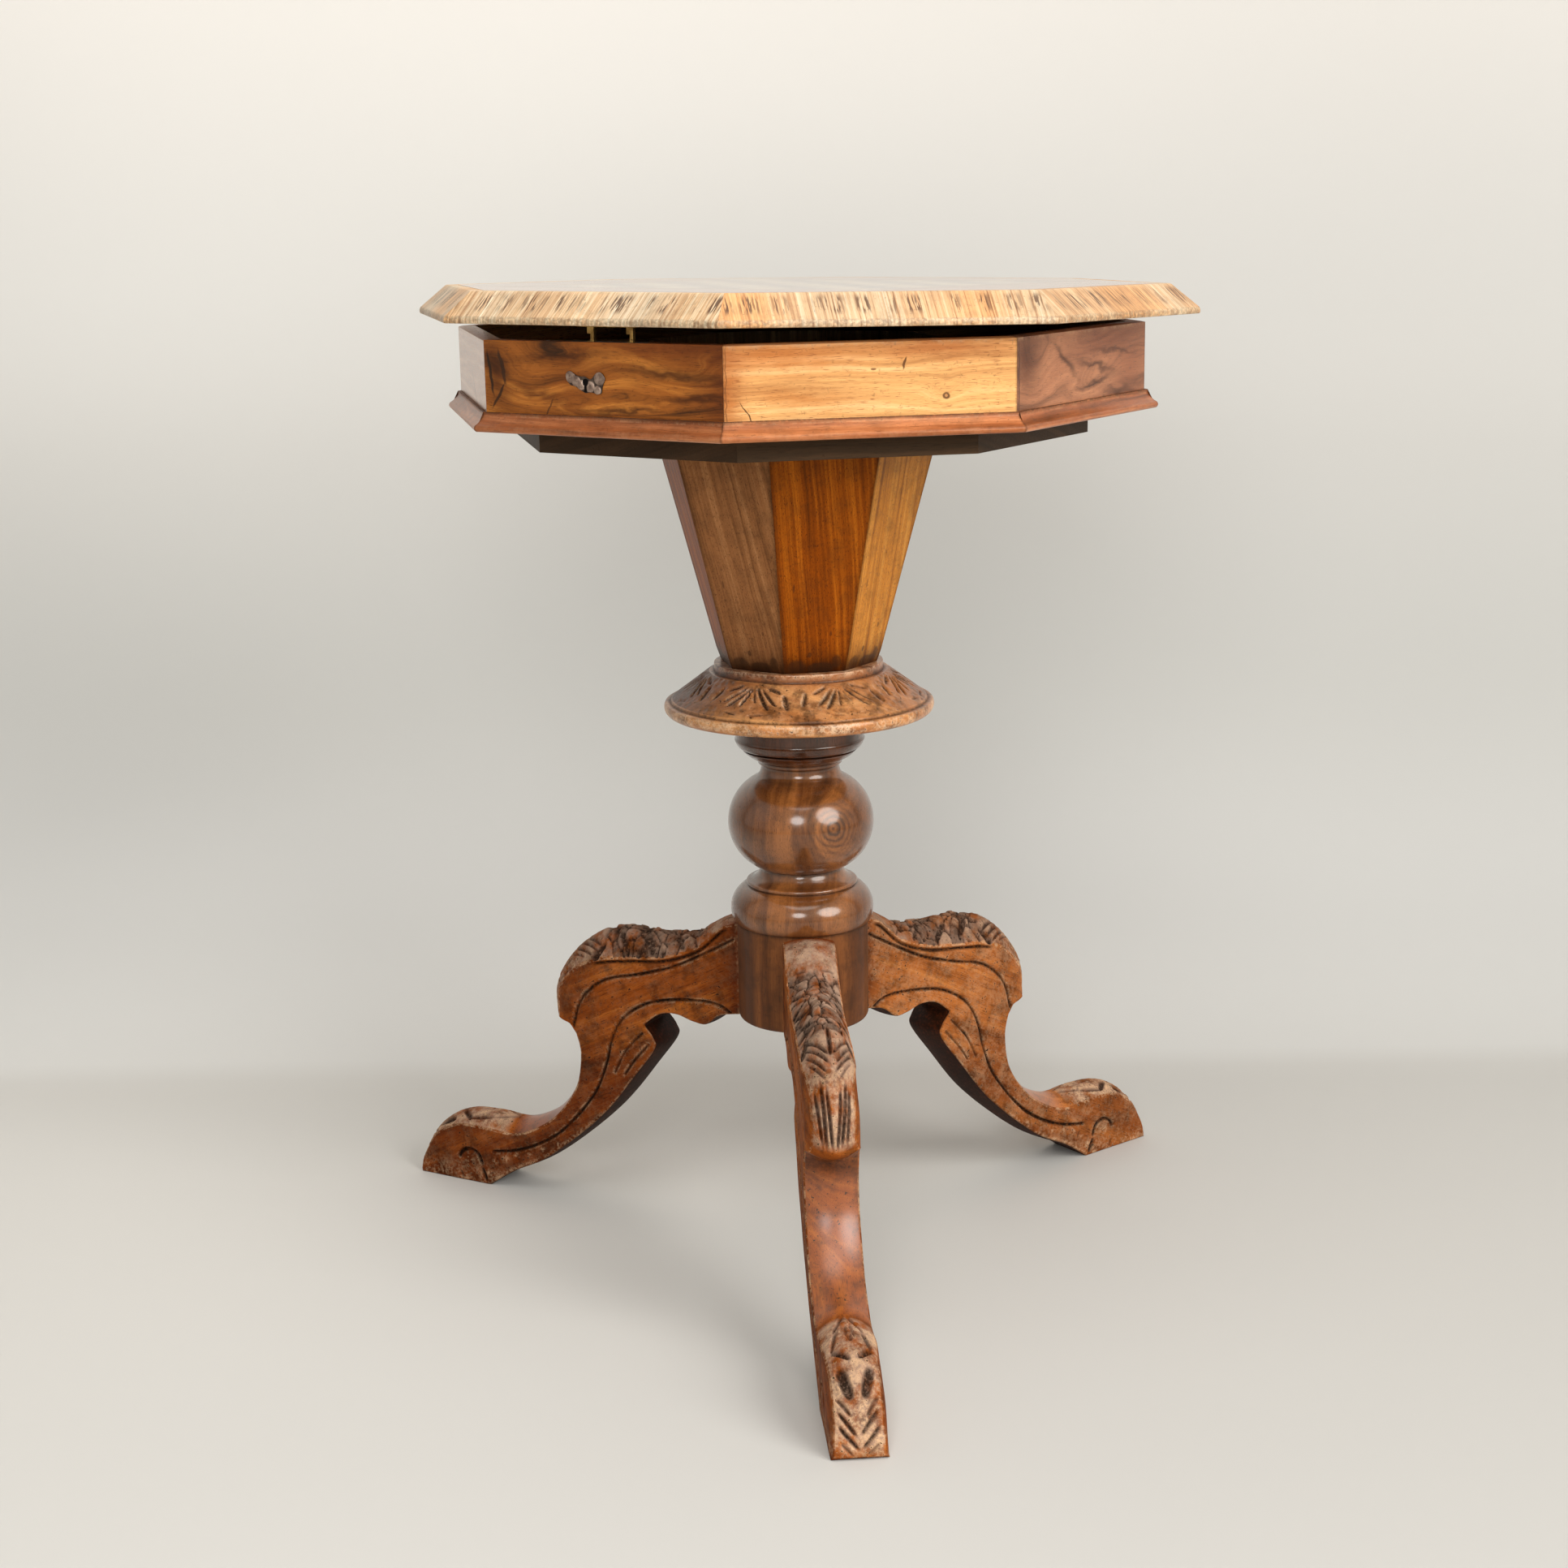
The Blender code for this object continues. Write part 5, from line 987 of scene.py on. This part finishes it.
# centre along the panel and up from its middle, size along and up, tilt; then an amount, or a tone and its share
panelFigure = {
    0: {"swirls": [(0.012, -0.0125, 0.052, 0.0060, 2, 2.6), (-0.055, 0.004, 0.030, 0.022, 30, 1.6),
                   (0.060, 0.012, 0.040, 0.012, -6, 1.4), (-0.020, 0.016, 0.030, 0.010, -20, 1.2)],
        "shades": [(0.095, 0.004, 0.026, 0.05, 0, (120, 60, 30), 0.75), (0.050, 0.026, 0.060, 0.008, 0, (130, 70, 40), 0.7),
                   (-0.083, 0.010, 0.010, 0.022, 12, (96, 66, 48), 0.85), (-0.022, 0.006, 0.022, 0.016, 0, (150, 110, 84), 0.5),
                   (0.0, -0.020, 0.05, 0.006, 0, (150, 96, 50), 0.5), (0.055, 0.010, 0.042, 0.0035, -4, (70, 36, 18), 0.85),
                   (0.070, -0.004, 0.030, 0.0026, 3, (76, 40, 20), 0.8), (0.018, -0.0125, 0.034, 0.0016, 2, (66, 34, 16), 0.8),
                   (-0.030, 0.020, 0.034, 0.0030, 4, (80, 44, 22), 0.75), (-0.050, -0.004, 0.022, 0.0030, -10, (96, 56, 28), 0.7)],
        "marks": [(-0.0865, 0.008, 0.0012, 0.015, 8, (24, 12, 6), 0.9), (-0.0805, -0.006, 0.0010, 0.010, -34, (24, 12, 6), 0.85),
                  (-0.0770, 0.012, 0.0016, 0.012, 14, (40, 22, 12), 0.8), (-0.041, -0.014, 0.0006, 0.010, -30, (60, 34, 16), 0.7)]},
    1: {"swirls": [(0.046, -0.004, 0.012, 0.009, 20, 1.3), (0.020, 0.012, 0.030, 0.007, 0, 0.8)],
        "shades": [(-0.060, 0.022, 0.060, 0.010, 0, (200, 150, 104), 0.8), (-0.090, 0.0, 0.010, 0.04, 0, (190, 140, 96), 0.8),
                   (0.045, 0.024, 0.050, 0.006, 0, (206, 160, 130), 0.8), (-0.045, -0.004, 0.032, 0.006, -6, (206, 160, 110), 0.6)],
        "marks": [(0.0462, -0.0052, 0.0024, 0.0024, 0, (80, 50, 28), 0.9), (0.0462, -0.0050, 0.0009, 0.0011, 0, (190, 134, 84), 0.9),
                  (0.0205, 0.0150, 0.0008, 0.0042, -18, (84, 46, 20), 0.9), (0.0010, 0.0120, 0.0016, 0.0007, 0, (100, 58, 28), 0.8),
                  (-0.0765, -0.0130, 0.0004, 0.0100, 32, (64, 36, 16), 0.9), (-0.0540, -0.0190, 0.0005, 0.0016, 0, (80, 48, 24), 0.9),
                  (-0.0895, 0.0, 0.0003, 0.04, 0, (90, 52, 24), 0.7)]},
    2: {"swirls": [(0.016, -0.002, 0.030, 0.0085, 16, 2.8), (-0.066, 0.014, 0.024, 0.020, 40, 2.2),
                   (0.010, 0.022, 0.040, 0.007, 8, 1.5)],
        "shades": [(-0.080, 0.014, 0.020, 0.022, 34, (110, 84, 76), 0.9), (0.030, 0.020, 0.060, 0.010, 6, (150, 110, 96), 0.7),
                   (0.070, 0.0, 0.030, 0.03, 0, (170, 130, 112), 0.5), (0.014, -0.007, 0.024, 0.0022, 8, (74, 46, 36), 0.85),
                   (0.018, 0.004, 0.026, 0.0020, -10, (80, 50, 40), 0.8), (-0.026, 0.010, 0.020, 0.0026, -34, (84, 54, 42), 0.8),
                   (0.052, -0.013, 0.022, 0.0020, -6, (90, 58, 46), 0.7), (0.046, 0.012, 0.030, 0.0018, -4, (90, 58, 46), 0.7)],
        "marks": [(-0.0885, 0.0, 0.0010, 0.03, 0, (44, 30, 26), 0.7)]},
    7: {"marks": [(0.020, -0.010, 0.0008, 0.022, 48, (70, 46, 34), 0.7), (0.055, -0.020, 0.0008, 0.012, 40, (60, 40, 30), 0.7)]}}


def figureAt(entries, side, shifted):
    # places for the shader: centres are moved to where that panel's own places lie
    return [((along + (0.61 * side if shifted else 0.0), 0.0, panelHigh + up), (wide, tall), tilt, *rest)
            for along, up, wide, tall, tilt, *rest in entries]


panelProfile = evenOutline(softCorners([(case["inside"], caseLow), (case["out"], caseLow), (case["out"], caseHigh),
                                        (case["inside"], caseHigh)], case["soft"], 3), 0.006)
for side in range(sides):
    look = dict(panelLooks[side])
    for kind, entries in panelFigure.get(side, {}).items():
        look[kind] = figureAt(entries, side, side not in (0, 4))
    if side in (0, 4):  # the lock and hinge panels keep their recesses
        dress(f"frieze_panel_{side + 1}", woodFinish(f"panelVeneer{side + 1}", look, turn=side * math.tau / sides))
    else:
        makeMitred(f"veneer_panel_{side + 1}", panelProfile, side, "carcase", f"frieze_panel_{side + 1}").data.materials.append(woodFinish(f"panelVeneer{side + 1}", look))
print("panels veneered")


# Base moulding: rounded nose, cove and fillet
moulding = {"nose": 0.0087, "high": 0.0122, "noseHigh": 0.0045, "fillet": 0.0022}
mouldingLook = {"pale": (206, 132, 84), "mid": (160, 90, 50), "dark": (78, 36, 15), "lines": 260.0, "figure": 1.6,
                "contrast": 0.8, "pores": 0.6, "rough": 0.28, "coat": 0.2, "knocks": 0.4, "wornAndHighlight": (220, 166, 122),
                "wearAndHighlightShare": 0.3, "mottle": 0.3, "dirtAndShade": (48, 22, 12)}


def mouldingProfile():
    back, nose = case["out"] + 0.0003, case["out"] + moulding["nose"]
    noseZ, top = caseLow + moulding["noseHigh"], caseLow + moulding["high"]
    soft, lip = moulding["noseHigh"] / 3, case["out"] + moulding["fillet"]
    under, over = (nose - soft, caseLow), (nose - soft, noseZ)
    hollow = (lip + 0.25 * (nose - lip), noseZ + 0.4 * (top - noseZ))
    return np.vstack([[(back, caseLow), under], arcThrough(under, (nose, caseLow + moulding["noseHigh"] / 2), over, 10),
                      arcThrough(over, hollow, (lip, top - moulding["fillet"]), 10), [(lip, top), (back, top)]])


mouldingMaterial = woodFinish("mouldingWalnut", mouldingLook)
for side in range(sides):
    makeMitred(f"moulding_length_{side + 1}", mouldingProfile(), side, "carcase", f"base_moulding_{side + 1}",
               steps=40, darkTop=True).data.materials.append(mouldingMaterial)
print("moulding run")


# Trumpet staves: grain runs up each one
stave = {"foot": 0.0523, "top": 0.096, "thick": 0.007, "soft": 0.0007,
         # dark stains: up, along, height, width, share
         "stains": [(0.004, -0.013, 0.0060, 0.0070, 0.6), (0.003, 0.004, 0.0045, 0.0100, 0.7), (0.007, 0.015, 0.0050, 0.0035, 0.6),
                    (0.013, -0.004, 0.0022, 0.0016, 0.6), (0.028, 0.010, 0.0018, 0.0010, 0.5), (0.061, -0.017, 0.0030, 0.0008, 0.5)]}
staveLooks = [
    {"pale": (182, 125, 78), "mid": (152, 98, 57), "dark": (96, 57, 30)},
    {"pale": (182, 98, 18), "mid": (134, 61, 4), "dark": (56, 22, 2)},
    {"pale": (216, 148, 62), "mid": (192, 120, 38), "dark": (116, 62, 18)}]


def staveFinish(name, look, side):
    full = {"lines": 300.0, "figure": 2.2, "contrast": 0.75, "pores": 0.9, "rough": 0.40, "coat": 0.03, "shine": 0.2, "knocks": 0.4,
            "wearAndHighlightShare": 0.0, "mottle": 0.35, "sheen": (255, 190, 110), **look}
    foot, top = trumpetLow, trumpetHigh
    # bruised dark along both ends
    full["shades"] = [((foot - 0.002, 0.0, 0.61 * side), (0.014, 0.2), 0, (70, 42, 28), 0.95),
                      ((top + 0.002, 0.0, 0.61 * side), (0.008, 0.2), 0, (96, 62, 44), 0.7)]
    full["marks"] = [((foot + up, 0.0, 0.61 * side + along), (high, wide), 0, (44, 25, 15), share)
                     for up, along, high, wide, share in stave["stains"]]
    return woodFinish(name, full, grainUp=True)


staveProfile = evenOutline(softCorners([
    (stave["foot"] - stave["thick"], trumpetLow), (stave["foot"], trumpetLow), (stave["top"], trumpetHigh),
    (stave["top"] - stave["thick"], trumpetHigh)], stave["soft"], 3), 0.008)
for side in range(sides):
    makeMitred(f"tapered_stave_{side + 1}", staveProfile, side, "carcase", f"trumpet_stave_{side + 1}",
               steps=60, soil=0.0032).data.materials.append(staveFinish(f"staveWalnut{side + 1}", staveLooks[side % 3], side))
print("trumpet staved")


# Keyhole escutcheon: a scrolled plate, thickest along its middle, with raised ends and a sunk keyhole.
# Millimetres in the panel's plane, from the keyhole.
escutcheon = {
    "along": -11.0, "drop": 24.5, "thick": 1.0, "columns": 90, "rows": 40,
    "upper": [(-15, 4.8), (-13.8, 6.4), (-11.2, 6.6), (-8.6, 5.2), (-6.2, 4.0), (-3.2, 3.6), (0, 3.4), (3.0, 2.0),
              (5.2, 2.8), (7.6, 5.3), (10.6, 6.6), (13.4, 5.4), (15, 3.0)],
    "lower": [(-15, 3.6), (-14.2, 0.8), (-11.6, -1.8), (-8.8, -2.2), (-6.0, -3.6), (-3.0, -5.2), (0, -6.4), (3.6, -5.9),
              (6.4, -6.4), (9.4, -7.0), (12.2, -6.0), (12.9, -2.6), (15, 1.8)],
    # rolled lobes: middle and radius
    "lobes": [(-11.6, 3.2, 3.8), (-7.4, 0.6, 3.4), (-3.4, -1.6, 3.2), (3.4, -2.6, 3.6), (9.0, -4.6, 2.8), (10.8, 2.6, 4.2)]}


def makeEscutcheon():
    along = np.linspace(-15, 15, escutcheon["columns"])
    upper, lower = (smoothLine(escutcheon[key], 8) for key in ("upper", "lower"))
    high, low = (np.interp(along, line[:, 0], line[:, 1]) for line in (upper, lower))
    share = np.linspace(0, 1, escutcheon["rows"])
    up = low[:, None] + (high - low)[:, None] * share
    across = np.broadcast_to(along[:, None], up.shape)
    domes = [np.sqrt(np.clip(1 - (np.hypot(across - x, up - y) / radius) ** 2, 0, 1)) for x, y, radius in escutcheon["lobes"]]
    thick = escutcheon["thick"] * (0.25 + 0.75 * np.max(domes, axis=0))
    hole = np.maximum(np.clip((2.3 - np.hypot(across, up)) / 0.4, 0, 1),
                      np.clip((1.1 - np.abs(across)) / 0.4, 0, 1) * np.clip((-up) / 0.4, 0, 1) * np.clip((up + 6) / 0.4, 0, 1))
    thick = np.clip(thick * (1 - 0.9 * hole), 0.06, escutcheon["thick"])
    face = case["out"] * 1000 + 0.3
    front = np.stack([across, -(face + thick), up], -1)
    behind = np.stack([across, np.full_like(up, -face - 0.02), up], -1)[:, ::-1]
    local = np.concatenate([front, behind], 1)
    shift = np.array([escutcheon["along"], 0, caseHigh * 1000 - escutcheon["drop"]])
    points = (local + shift) / 1000 + axis
    # the keyhole, sunk but not pierced, is marked near-black as painted shade; the thin parts between the lobes darken
    # as tarnish
    cut = np.concatenate([np.clip(hole + (1 - thick / escutcheon["thick"]) * 0.8, 0, 1), np.ones_like(up)], 1)
    piece = buildPiece("scroll_escutcheon", points, "carcase", {"cut": cut[..., None]}, caps=True, sharp=70)
    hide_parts("keyhole_escutcheon")
    return piece


def escutcheonFinish():
    material, tree, shader = newMaterial("darkBrass")
    skin = useGroup(tree, tarnishGroup, {"Place": placeOf(tree, turn=0.0), "Bright": rgb(196, 170, 152),
                                         "Dull": rgb(104, 84, 74), "Pit": rgb(22, 16, 12), "Amount": 0.9})
    cut = put(tree, "Attribute", attribute_name="cut").outputs["Fac"]
    # near-black in the keyhole as painted shade, darker in the thin hollows as tarnish
    colour = blend(tree, between(tree, cut, 0.25, 0.75), skin["Colour"], rgb(16, 11, 8))
    tree.links.new(colour, shader.inputs["Base Color"])
    tree.links.new(skin["Rough"], shader.inputs["Roughness"])
    bump = put(tree, "Bump", {"Height": skin["Height"], "Strength": 0.3, "Distance": 0.0002})
    tree.links.new(bump.outputs[0], shader.inputs["Normal"])
    shader.inputs["Metallic"].default_value = 0.85
    return material


makeEscutcheon().data.materials.append(escutcheonFinish())
print("escutcheon fixed")


# Games board and the veneer round it
board = {"side": 0.300, "square": 0.0330, "back": 0.0075, "string": 0.0012}
lidLook = {"pale": (198, 140, 92), "mid": (166, 108, 66), "dark": (94, 54, 28), "lines": 110.0, "figure": 4.5,
           "contrast": 0.7, "pores": 0.6, "rough": 0.20, "coat": 1.0, "coatRough": 0.10, "knocks": 0.3}


def boardFinish():
    material, tree, shader = newMaterial("chequeredBoard")
    place = placeOf(tree, turn=0.0, offset=(0, -board["back"], 0))
    split = put(tree, "SeparateXYZ", {0: place}).outputs
    sideways, lengthways = (put(tree, "CombineXYZ", order).outputs[0] for order in (
        {0: split[0], 1: split[2], 2: split[1]}, {0: split[1], 1: split[2], 2: split[0]}))
    paleWood = useGroup(tree, grainGroup, {
        "Place": sideways, "Pale": rgb(240, 214, 168), "Mid": rgb(222, 186, 134), "Dark": rgb(180, 136, 86), "Lines": 300.0,
        "Figure": 1.4, "Contrast": 0.5, "Pores": 0.4})
    darkWood = useGroup(tree, grainGroup, {
        "Place": sideways, "Pale": rgb(128, 78, 44), "Mid": rgb(98, 56, 30), "Dark": rgb(48, 24, 12), "Lines": 240.0,
        "Figure": 2.0, "Contrast": 0.8, "Pores": 0.6})
    edgeWood = useGroup(tree, grainGroup, {
        "Place": lengthways, "Pale": rgb(198, 138, 88), "Mid": rgb(164, 104, 60), "Dark": rgb(90, 50, 26), "Lines": 260.0,
        "Figure": 2.5, "Contrast": 0.7, "Pores": 0.6})
    # squares: the sum of the two counts along the sides is odd or even
    counts = [maths(tree, "FLOOR", maths(tree, "DIVIDE", split[i], board["square"])) for i in (0, 1)]
    odd = maths(tree, "PINGPONG", maths(tree, "ADD", *counts), 1.0)
    colour = blend(tree, odd, darkWood["Colour"], paleWood["Colour"])
    reach = maths(tree, "MAXIMUM", maths(tree, "ABSOLUTE", split[0]), maths(tree, "ABSOLUTE", split[1]))
    field = 4 * board["square"]
    colour = blend(tree, maths(tree, "GREATER_THAN", reach, field), colour, edgeWood["Colour"])
    for start, tone in ((field, (226, 196, 146)), (board["side"] / 2 - 0.003, (226, 196, 146))):
        near = maths(tree, "ABSOLUTE", maths(tree, "SUBTRACT", reach, start + board["string"] / 2))
        colour = blend(tree, maths(tree, "LESS_THAN", near, board["string"] / 2), colour, rgb(*tone))
    # joints between the squares
    cells = [maths(tree, "PINGPONG", split[i], board["square"]) for i in (0, 1)]
    joint = maths(tree, "LESS_THAN", maths(tree, "MINIMUM", *cells), 0.00022)
    joint = maths(tree, "MULTIPLY", joint, maths(tree, "LESS_THAN", reach, field))
    colour = blend(tree, maths(tree, "MULTIPLY", joint, 0.6), colour, rgb(40, 24, 14))
    agedAndShaded = useGroup(tree, agedAndShadedGroup, {
        "Place": place, "Colour": colour, "Cut": 0.0, "WearAndHighlight": 0.0, "Carved": 0.0, "DirtAndShade": rgb(60, 38, 22),
        "WornAndHighlight": rgb(230, 200, 160), "Greyed": rgb(160, 130, 100), "Knocks": 0.3, "Mottle": 0.15})
    tree.links.new(agedAndShaded["Colour"], shader.inputs["Base Color"])
    tree.links.new(maths(tree, "MULTIPLY_ADD", darkWood["Height"], 0.10, 0.22), shader.inputs["Roughness"])
    bump = put(tree, "Bump", {"Height": darkWood["Height"], "Strength": 0.15, "Distance": 0.0003})
    tree.links.new(bump.outputs[0], shader.inputs["Normal"])
    shader.inputs["Coat Weight"].default_value = lidLook["coat"]
    shader.inputs["Coat Roughness"].default_value = lidLook["coatRough"]
    return material


dress("games_board", boardFinish())
dress("lid_core", woodFinish("lidVeneer", lidLook, turn=math.radians(25)))
print("lid veneered")


# Inside: plain wood, paper lining, dark board below, lock and hinges
insideLook = {"pale": (196, 158, 110), "mid": (168, 128, 84), "dark": (116, 80, 48), "lines": 210.0, "figure": 2.0,
              "contrast": 0.5, "pores": 0.5, "rough": 0.55, "coat": 0.0, "bump": 0.4, "knocks": 0.4}
darkBoardLook = {"pale": (72, 52, 36), "mid": (53, 38, 26), "dark": (26, 18, 12), "lines": 160.0, "figure": 1.8,
                 "contrast": 0.6, "pores": 0.6, "rough": 0.5, "coat": 0.0, "bump": 0.5, "knocks": 0.5}


def paperFinish():
    material, tree, shader = newMaterial("liningPaper")
    place = placeOf(tree, turn=0.0)
    fibre = noise(tree, place, (900, 900, 900), 3, 0.6)
    stain = noise(tree, place, (14, 14, 14), 4, 0.6)
    fox = between(tree, noise(tree, place, (170, 170, 170), 2, 0.5), 0.66, 0.74)
    colour = blend(tree, between(tree, stain, 0.35, 0.7), rgb(222, 208, 180), rgb(190, 168, 132))
    colour = blend(tree, maths(tree, "MULTIPLY", fox, 0.5), colour, rgb(150, 110, 66))
    colour = blend(tree, maths(tree, "MULTIPLY", fibre, 0.25), colour, rgb(236, 226, 204))
    tree.links.new(colour, shader.inputs["Base Color"])
    tree.links.new(maths(tree, "MULTIPLY_ADD", fibre, 0.15, 0.75), shader.inputs["Roughness"])
    bump = put(tree, "Bump", {"Height": fibre, "Strength": 0.3, "Distance": 0.0003})
    tree.links.new(bump.outputs[0], shader.inputs["Normal"])
    return material


insideWood = woodFinish("insideWood", insideLook, turn=0.0)
for label in ("floor_board", "well_floor"):
    dress(label, insideWood)
rimWood = woodFinish("rimWood", insideLook, turn=0.0, grainUp=True)
dress("well_rim", rimWood)
for side in range(sides):
    dress(f"partition_{side + 1}", woodFinish(f"partitionWood{side + 1}", insideLook,
                                              turn=(side + 0.5) * math.tau / sides - math.pi / 2,
                                              offset=(0.4 * side, 0, 0)))
dress("underboard", woodFinish("darkBoard", darkBoardLook, turn=math.radians(45)))
dress("lid_lining", paperFinish())
hingeBrass = metalFinish("hingeBrass", (196, 160, 96), (128, 98, 56), (46, 32, 18), 0.8)
for label in ("hinge_lid_leaf_left", "hinge_lid_leaf_right", "hinge_case_leaf_left", "hinge_case_leaf_right",
              "link_plate"):
    dress(label, hingeBrass)
lockSteel = metalFinish("lockSteel", (150, 146, 140), (92, 82, 72), (52, 32, 20), 0.8)
for label in ("lock_case", "lock_bolt"):
    dress(label, lockSteel)
print("inside dressed")


# Stage: a sheet that lies on the floor and curves up behind, soft lamps, camera
stage = {"half": 5.0, "front": -4.0, "bend": 0.32, "radius": 0.5, "high": 4.0,
         # height above the floor and tone there, painted light and shade up the sweep
         "paintedLightTones": [(0.0, (203, 200, 194)), (0.006, (212, 210, 205)), (0.08, (208, 206, 201)), (0.28, (199, 197, 191)),
                   (0.62, (214, 211, 205)), (1.2, (233, 227, 219))],
         "even": (-0.75, 0.75, 1.19, 0.86), "near": (0.36, 0.18), "room": (222, 217, 209)}
camera = {"focal": 3107.98, "image": 1932.0, "sensor": 36.0, "away": 1.7481, "turn": 32.7236, "high": 0.7618,
          "pitch": 13.3439, "yaw": -0.3816, "roll": -0.9723}
lamps = [("keyLamp", 80.0, 24.0, 2.6, 1.7, 60.0, (1.0, 0.99, 0.97)),
         ("windowLamp", 27.0, 20.0, 2.6, 0.90, 20.5, (0.98, 0.99, 1.0)),
         ("topLamp", 34.0, 66.0, 2.4, 2.0, 28.8, (1.0, 1.0, 0.98)),
         ("fillLamp", -35.0, 25.0, 3.0, 1.8, 1.5, (0.97, 0.98, 1.0))]


def makeStage():
    # profile: flat floor, a quarter circle, then upright; turned so that it stands behind the table
    bend = np.linspace(0, math.pi / 2, 24)
    depth = np.concatenate([[stage["front"]], stage["bend"] + stage["radius"] * np.sin(bend), [stage["bend"] + stage["radius"]]])
    height = np.concatenate([[0.0], stage["radius"] * (1 - np.cos(bend)), [stage["high"]]])
    across = np.array([-stage["half"], stage["half"]])
    turn = math.radians(camera["turn"])
    away, over = np.array([-math.sin(turn), math.cos(turn), 0]), np.array([math.cos(turn), math.sin(turn), 0])
    points = (depth[:, None, None] * away + across[None, :, None] * over
              + height[:, None, None] * np.array([0, 0, 1]) + axis).reshape(-1, 3)
    row = np.arange(len(depth) - 1) * 2
    mesh = bpy.data.meshes.new("paperSweep")
    mesh.from_pydata(points.tolist(), [], np.stack([row, row + 1, row + 3, row + 2], 1).tolist())
    mesh.shade_smooth()
    sweep = bpy.data.objects.new("paperSweep", mesh)
    bpy.context.scene.collection.objects.link(sweep)
    material, tree, shader = newMaterial("sweepPaper")
    place = put(tree, "TexCoord").outputs["Object"]
    height = put(tree, "SeparateXYZ", {0: place}).outputs[2]
    colour = rgb(*stage["paintedLightTones"][0][1])
    for (low, _), (high, tone) in zip(stage["paintedLightTones"], stage["paintedLightTones"][1:]):
        colour = blend(tree, between(tree, height, low, high), colour, rgb(*tone))
    aside = put(tree, "VectorMath", {0: place, 1: tuple(over)}, operation="DOT_PRODUCT").outputs[1]
    # painted light across the sweep: paler to the left, away from the key lamp
    even = between(tree, aside, *stage["even"])  # paler away from the key lamp
    # and a painted shadow close behind the table, by a bell curve of the distance to either side
    aside = maths(tree, "DIVIDE", aside, stage["near"][0])
    shadowBehind = maths(tree, "EXPONENT", maths(tree, "MULTIPLY", maths(tree, "MULTIPLY", aside, aside), -1.0))
    shadowBehind = maths(tree, "MULTIPLY", shadowBehind, maths(tree, "MULTIPLY", between(tree, height, 0.0, 0.1), between(tree, height, 0.9, 0.5)))
    even = maths(tree, "MULTIPLY", even, maths(tree, "MULTIPLY_ADD", shadowBehind, -stage["near"][1], 1.0))
    even = maths(tree, "MULTIPLY", even, maths(tree, "MULTIPLY_ADD", noise(tree, place, (0.9, 0.9, 0.9), 2), 0.06, 0.97))
    colour = blend(tree, 1.0, colour, put(tree, "CombineColor", {0: even, 1: even, 2: even}).outputs[0], "MULTIPLY")
    tree.links.new(colour, shader.inputs["Base Color"])
    shader.inputs["Roughness"].default_value = 0.7
    # the camera sees through it from behind and from below
    behind = maths(tree, "MULTIPLY", put(tree, "NewGeometry").outputs["Backfacing"],
                   put(tree, "LightPath").outputs["Is Camera Ray"])
    seen = put(tree, "MixShader", {0: behind, 1: shader.outputs[0], 2: put(tree, "BsdfTransparent").outputs[0]})
    tree.links.new(seen.outputs[0], tree.nodes["Material Output"].inputs["Surface"])
    mesh.materials.append(material)


def makeLamps():
    for label, turn, rise, away, size, power, tone in lamps:
        data = bpy.data.lights.new(label, "AREA")
        data.shape, data.size, data.energy, data.color = "DISK", size, power, tone
        lamp = bpy.data.objects.new(label, data)
        a, e = math.radians(turn), math.radians(rise)
        back = np.array([math.sin(a) * math.cos(e), -math.cos(a) * math.cos(e), math.sin(e)])
        aim = np.array([0, 0, 0.45]) + axis
        lamp.location = aim + back * away
        lamp.rotation_mode = "QUATERNION"
        lamp.rotation_quaternion = Vector(-back).to_track_quat("-Z", "Y")
        bpy.context.scene.collection.objects.link(lamp)
    world = bpy.data.worlds.new("softRoom")
    bpy.context.scene.world = world
    world.use_nodes = True
    tree = world.node_tree
    sky = tree.nodes["Background"]
    sky.inputs["Color"].default_value = (0.95, 0.97, 1.0, 1.0)
    sky.inputs["Strength"].default_value = 0.10
    room = put(tree, "Background", {"Color": rgb(*stage["room"]), "Strength": 1.0})
    ray = put(tree, "LightPath").outputs
    looking = maths(tree, "MAXIMUM", ray["Is Camera Ray"], maths(tree, "MAXIMUM", ray["Is Glossy Ray"], ray["Is Transmission Ray"]))
    seen = put(tree, "MixShader", {0: looking, 1: sky.outputs[0], 2: room.outputs[0]})
    tree.links.new(seen.outputs[0], tree.nodes["World Output"].inputs["Surface"])


def makeCamera():
    turn, pitch, yaw, roll = (math.radians(camera[key]) for key in ("turn", "pitch", "yaw", "roll"))
    where = axis + np.array([camera["away"] * math.sin(turn), -camera["away"] * math.cos(turn), camera["high"]])
    look = np.array([math.sin(yaw - turn) * math.cos(pitch), math.cos(yaw - turn) * math.cos(pitch), -math.sin(pitch)])
    right = np.cross(look, [0, 0, 1])
    right /= np.linalg.norm(right)
    up = np.cross(right, look)
    rolledRight = right * math.cos(roll) + up * math.sin(roll)
    rolledUp = up * math.cos(roll) - right * math.sin(roll)
    data = bpy.data.cameras.new("photoCamera")
    data.sensor_width = camera["sensor"]
    data.lens = camera["focal"] / camera["image"] * camera["sensor"]
    data.clip_start, data.clip_end = 0.05, 50.0
    eye = bpy.data.objects.new("photoCamera", data)
    matrix = np.eye(4)
    matrix[:3] = np.stack([rolledRight, rolledUp, -look, where], 1)
    eye.matrix_world = Matrix(matrix.tolist())
    bpy.context.scene.collection.objects.link(eye)
    bpy.context.scene.camera = eye


makeStage()
makeLamps()
makeCamera()
bpy.context.scene.view_settings.view_transform = "Standard"
print("scene ready")
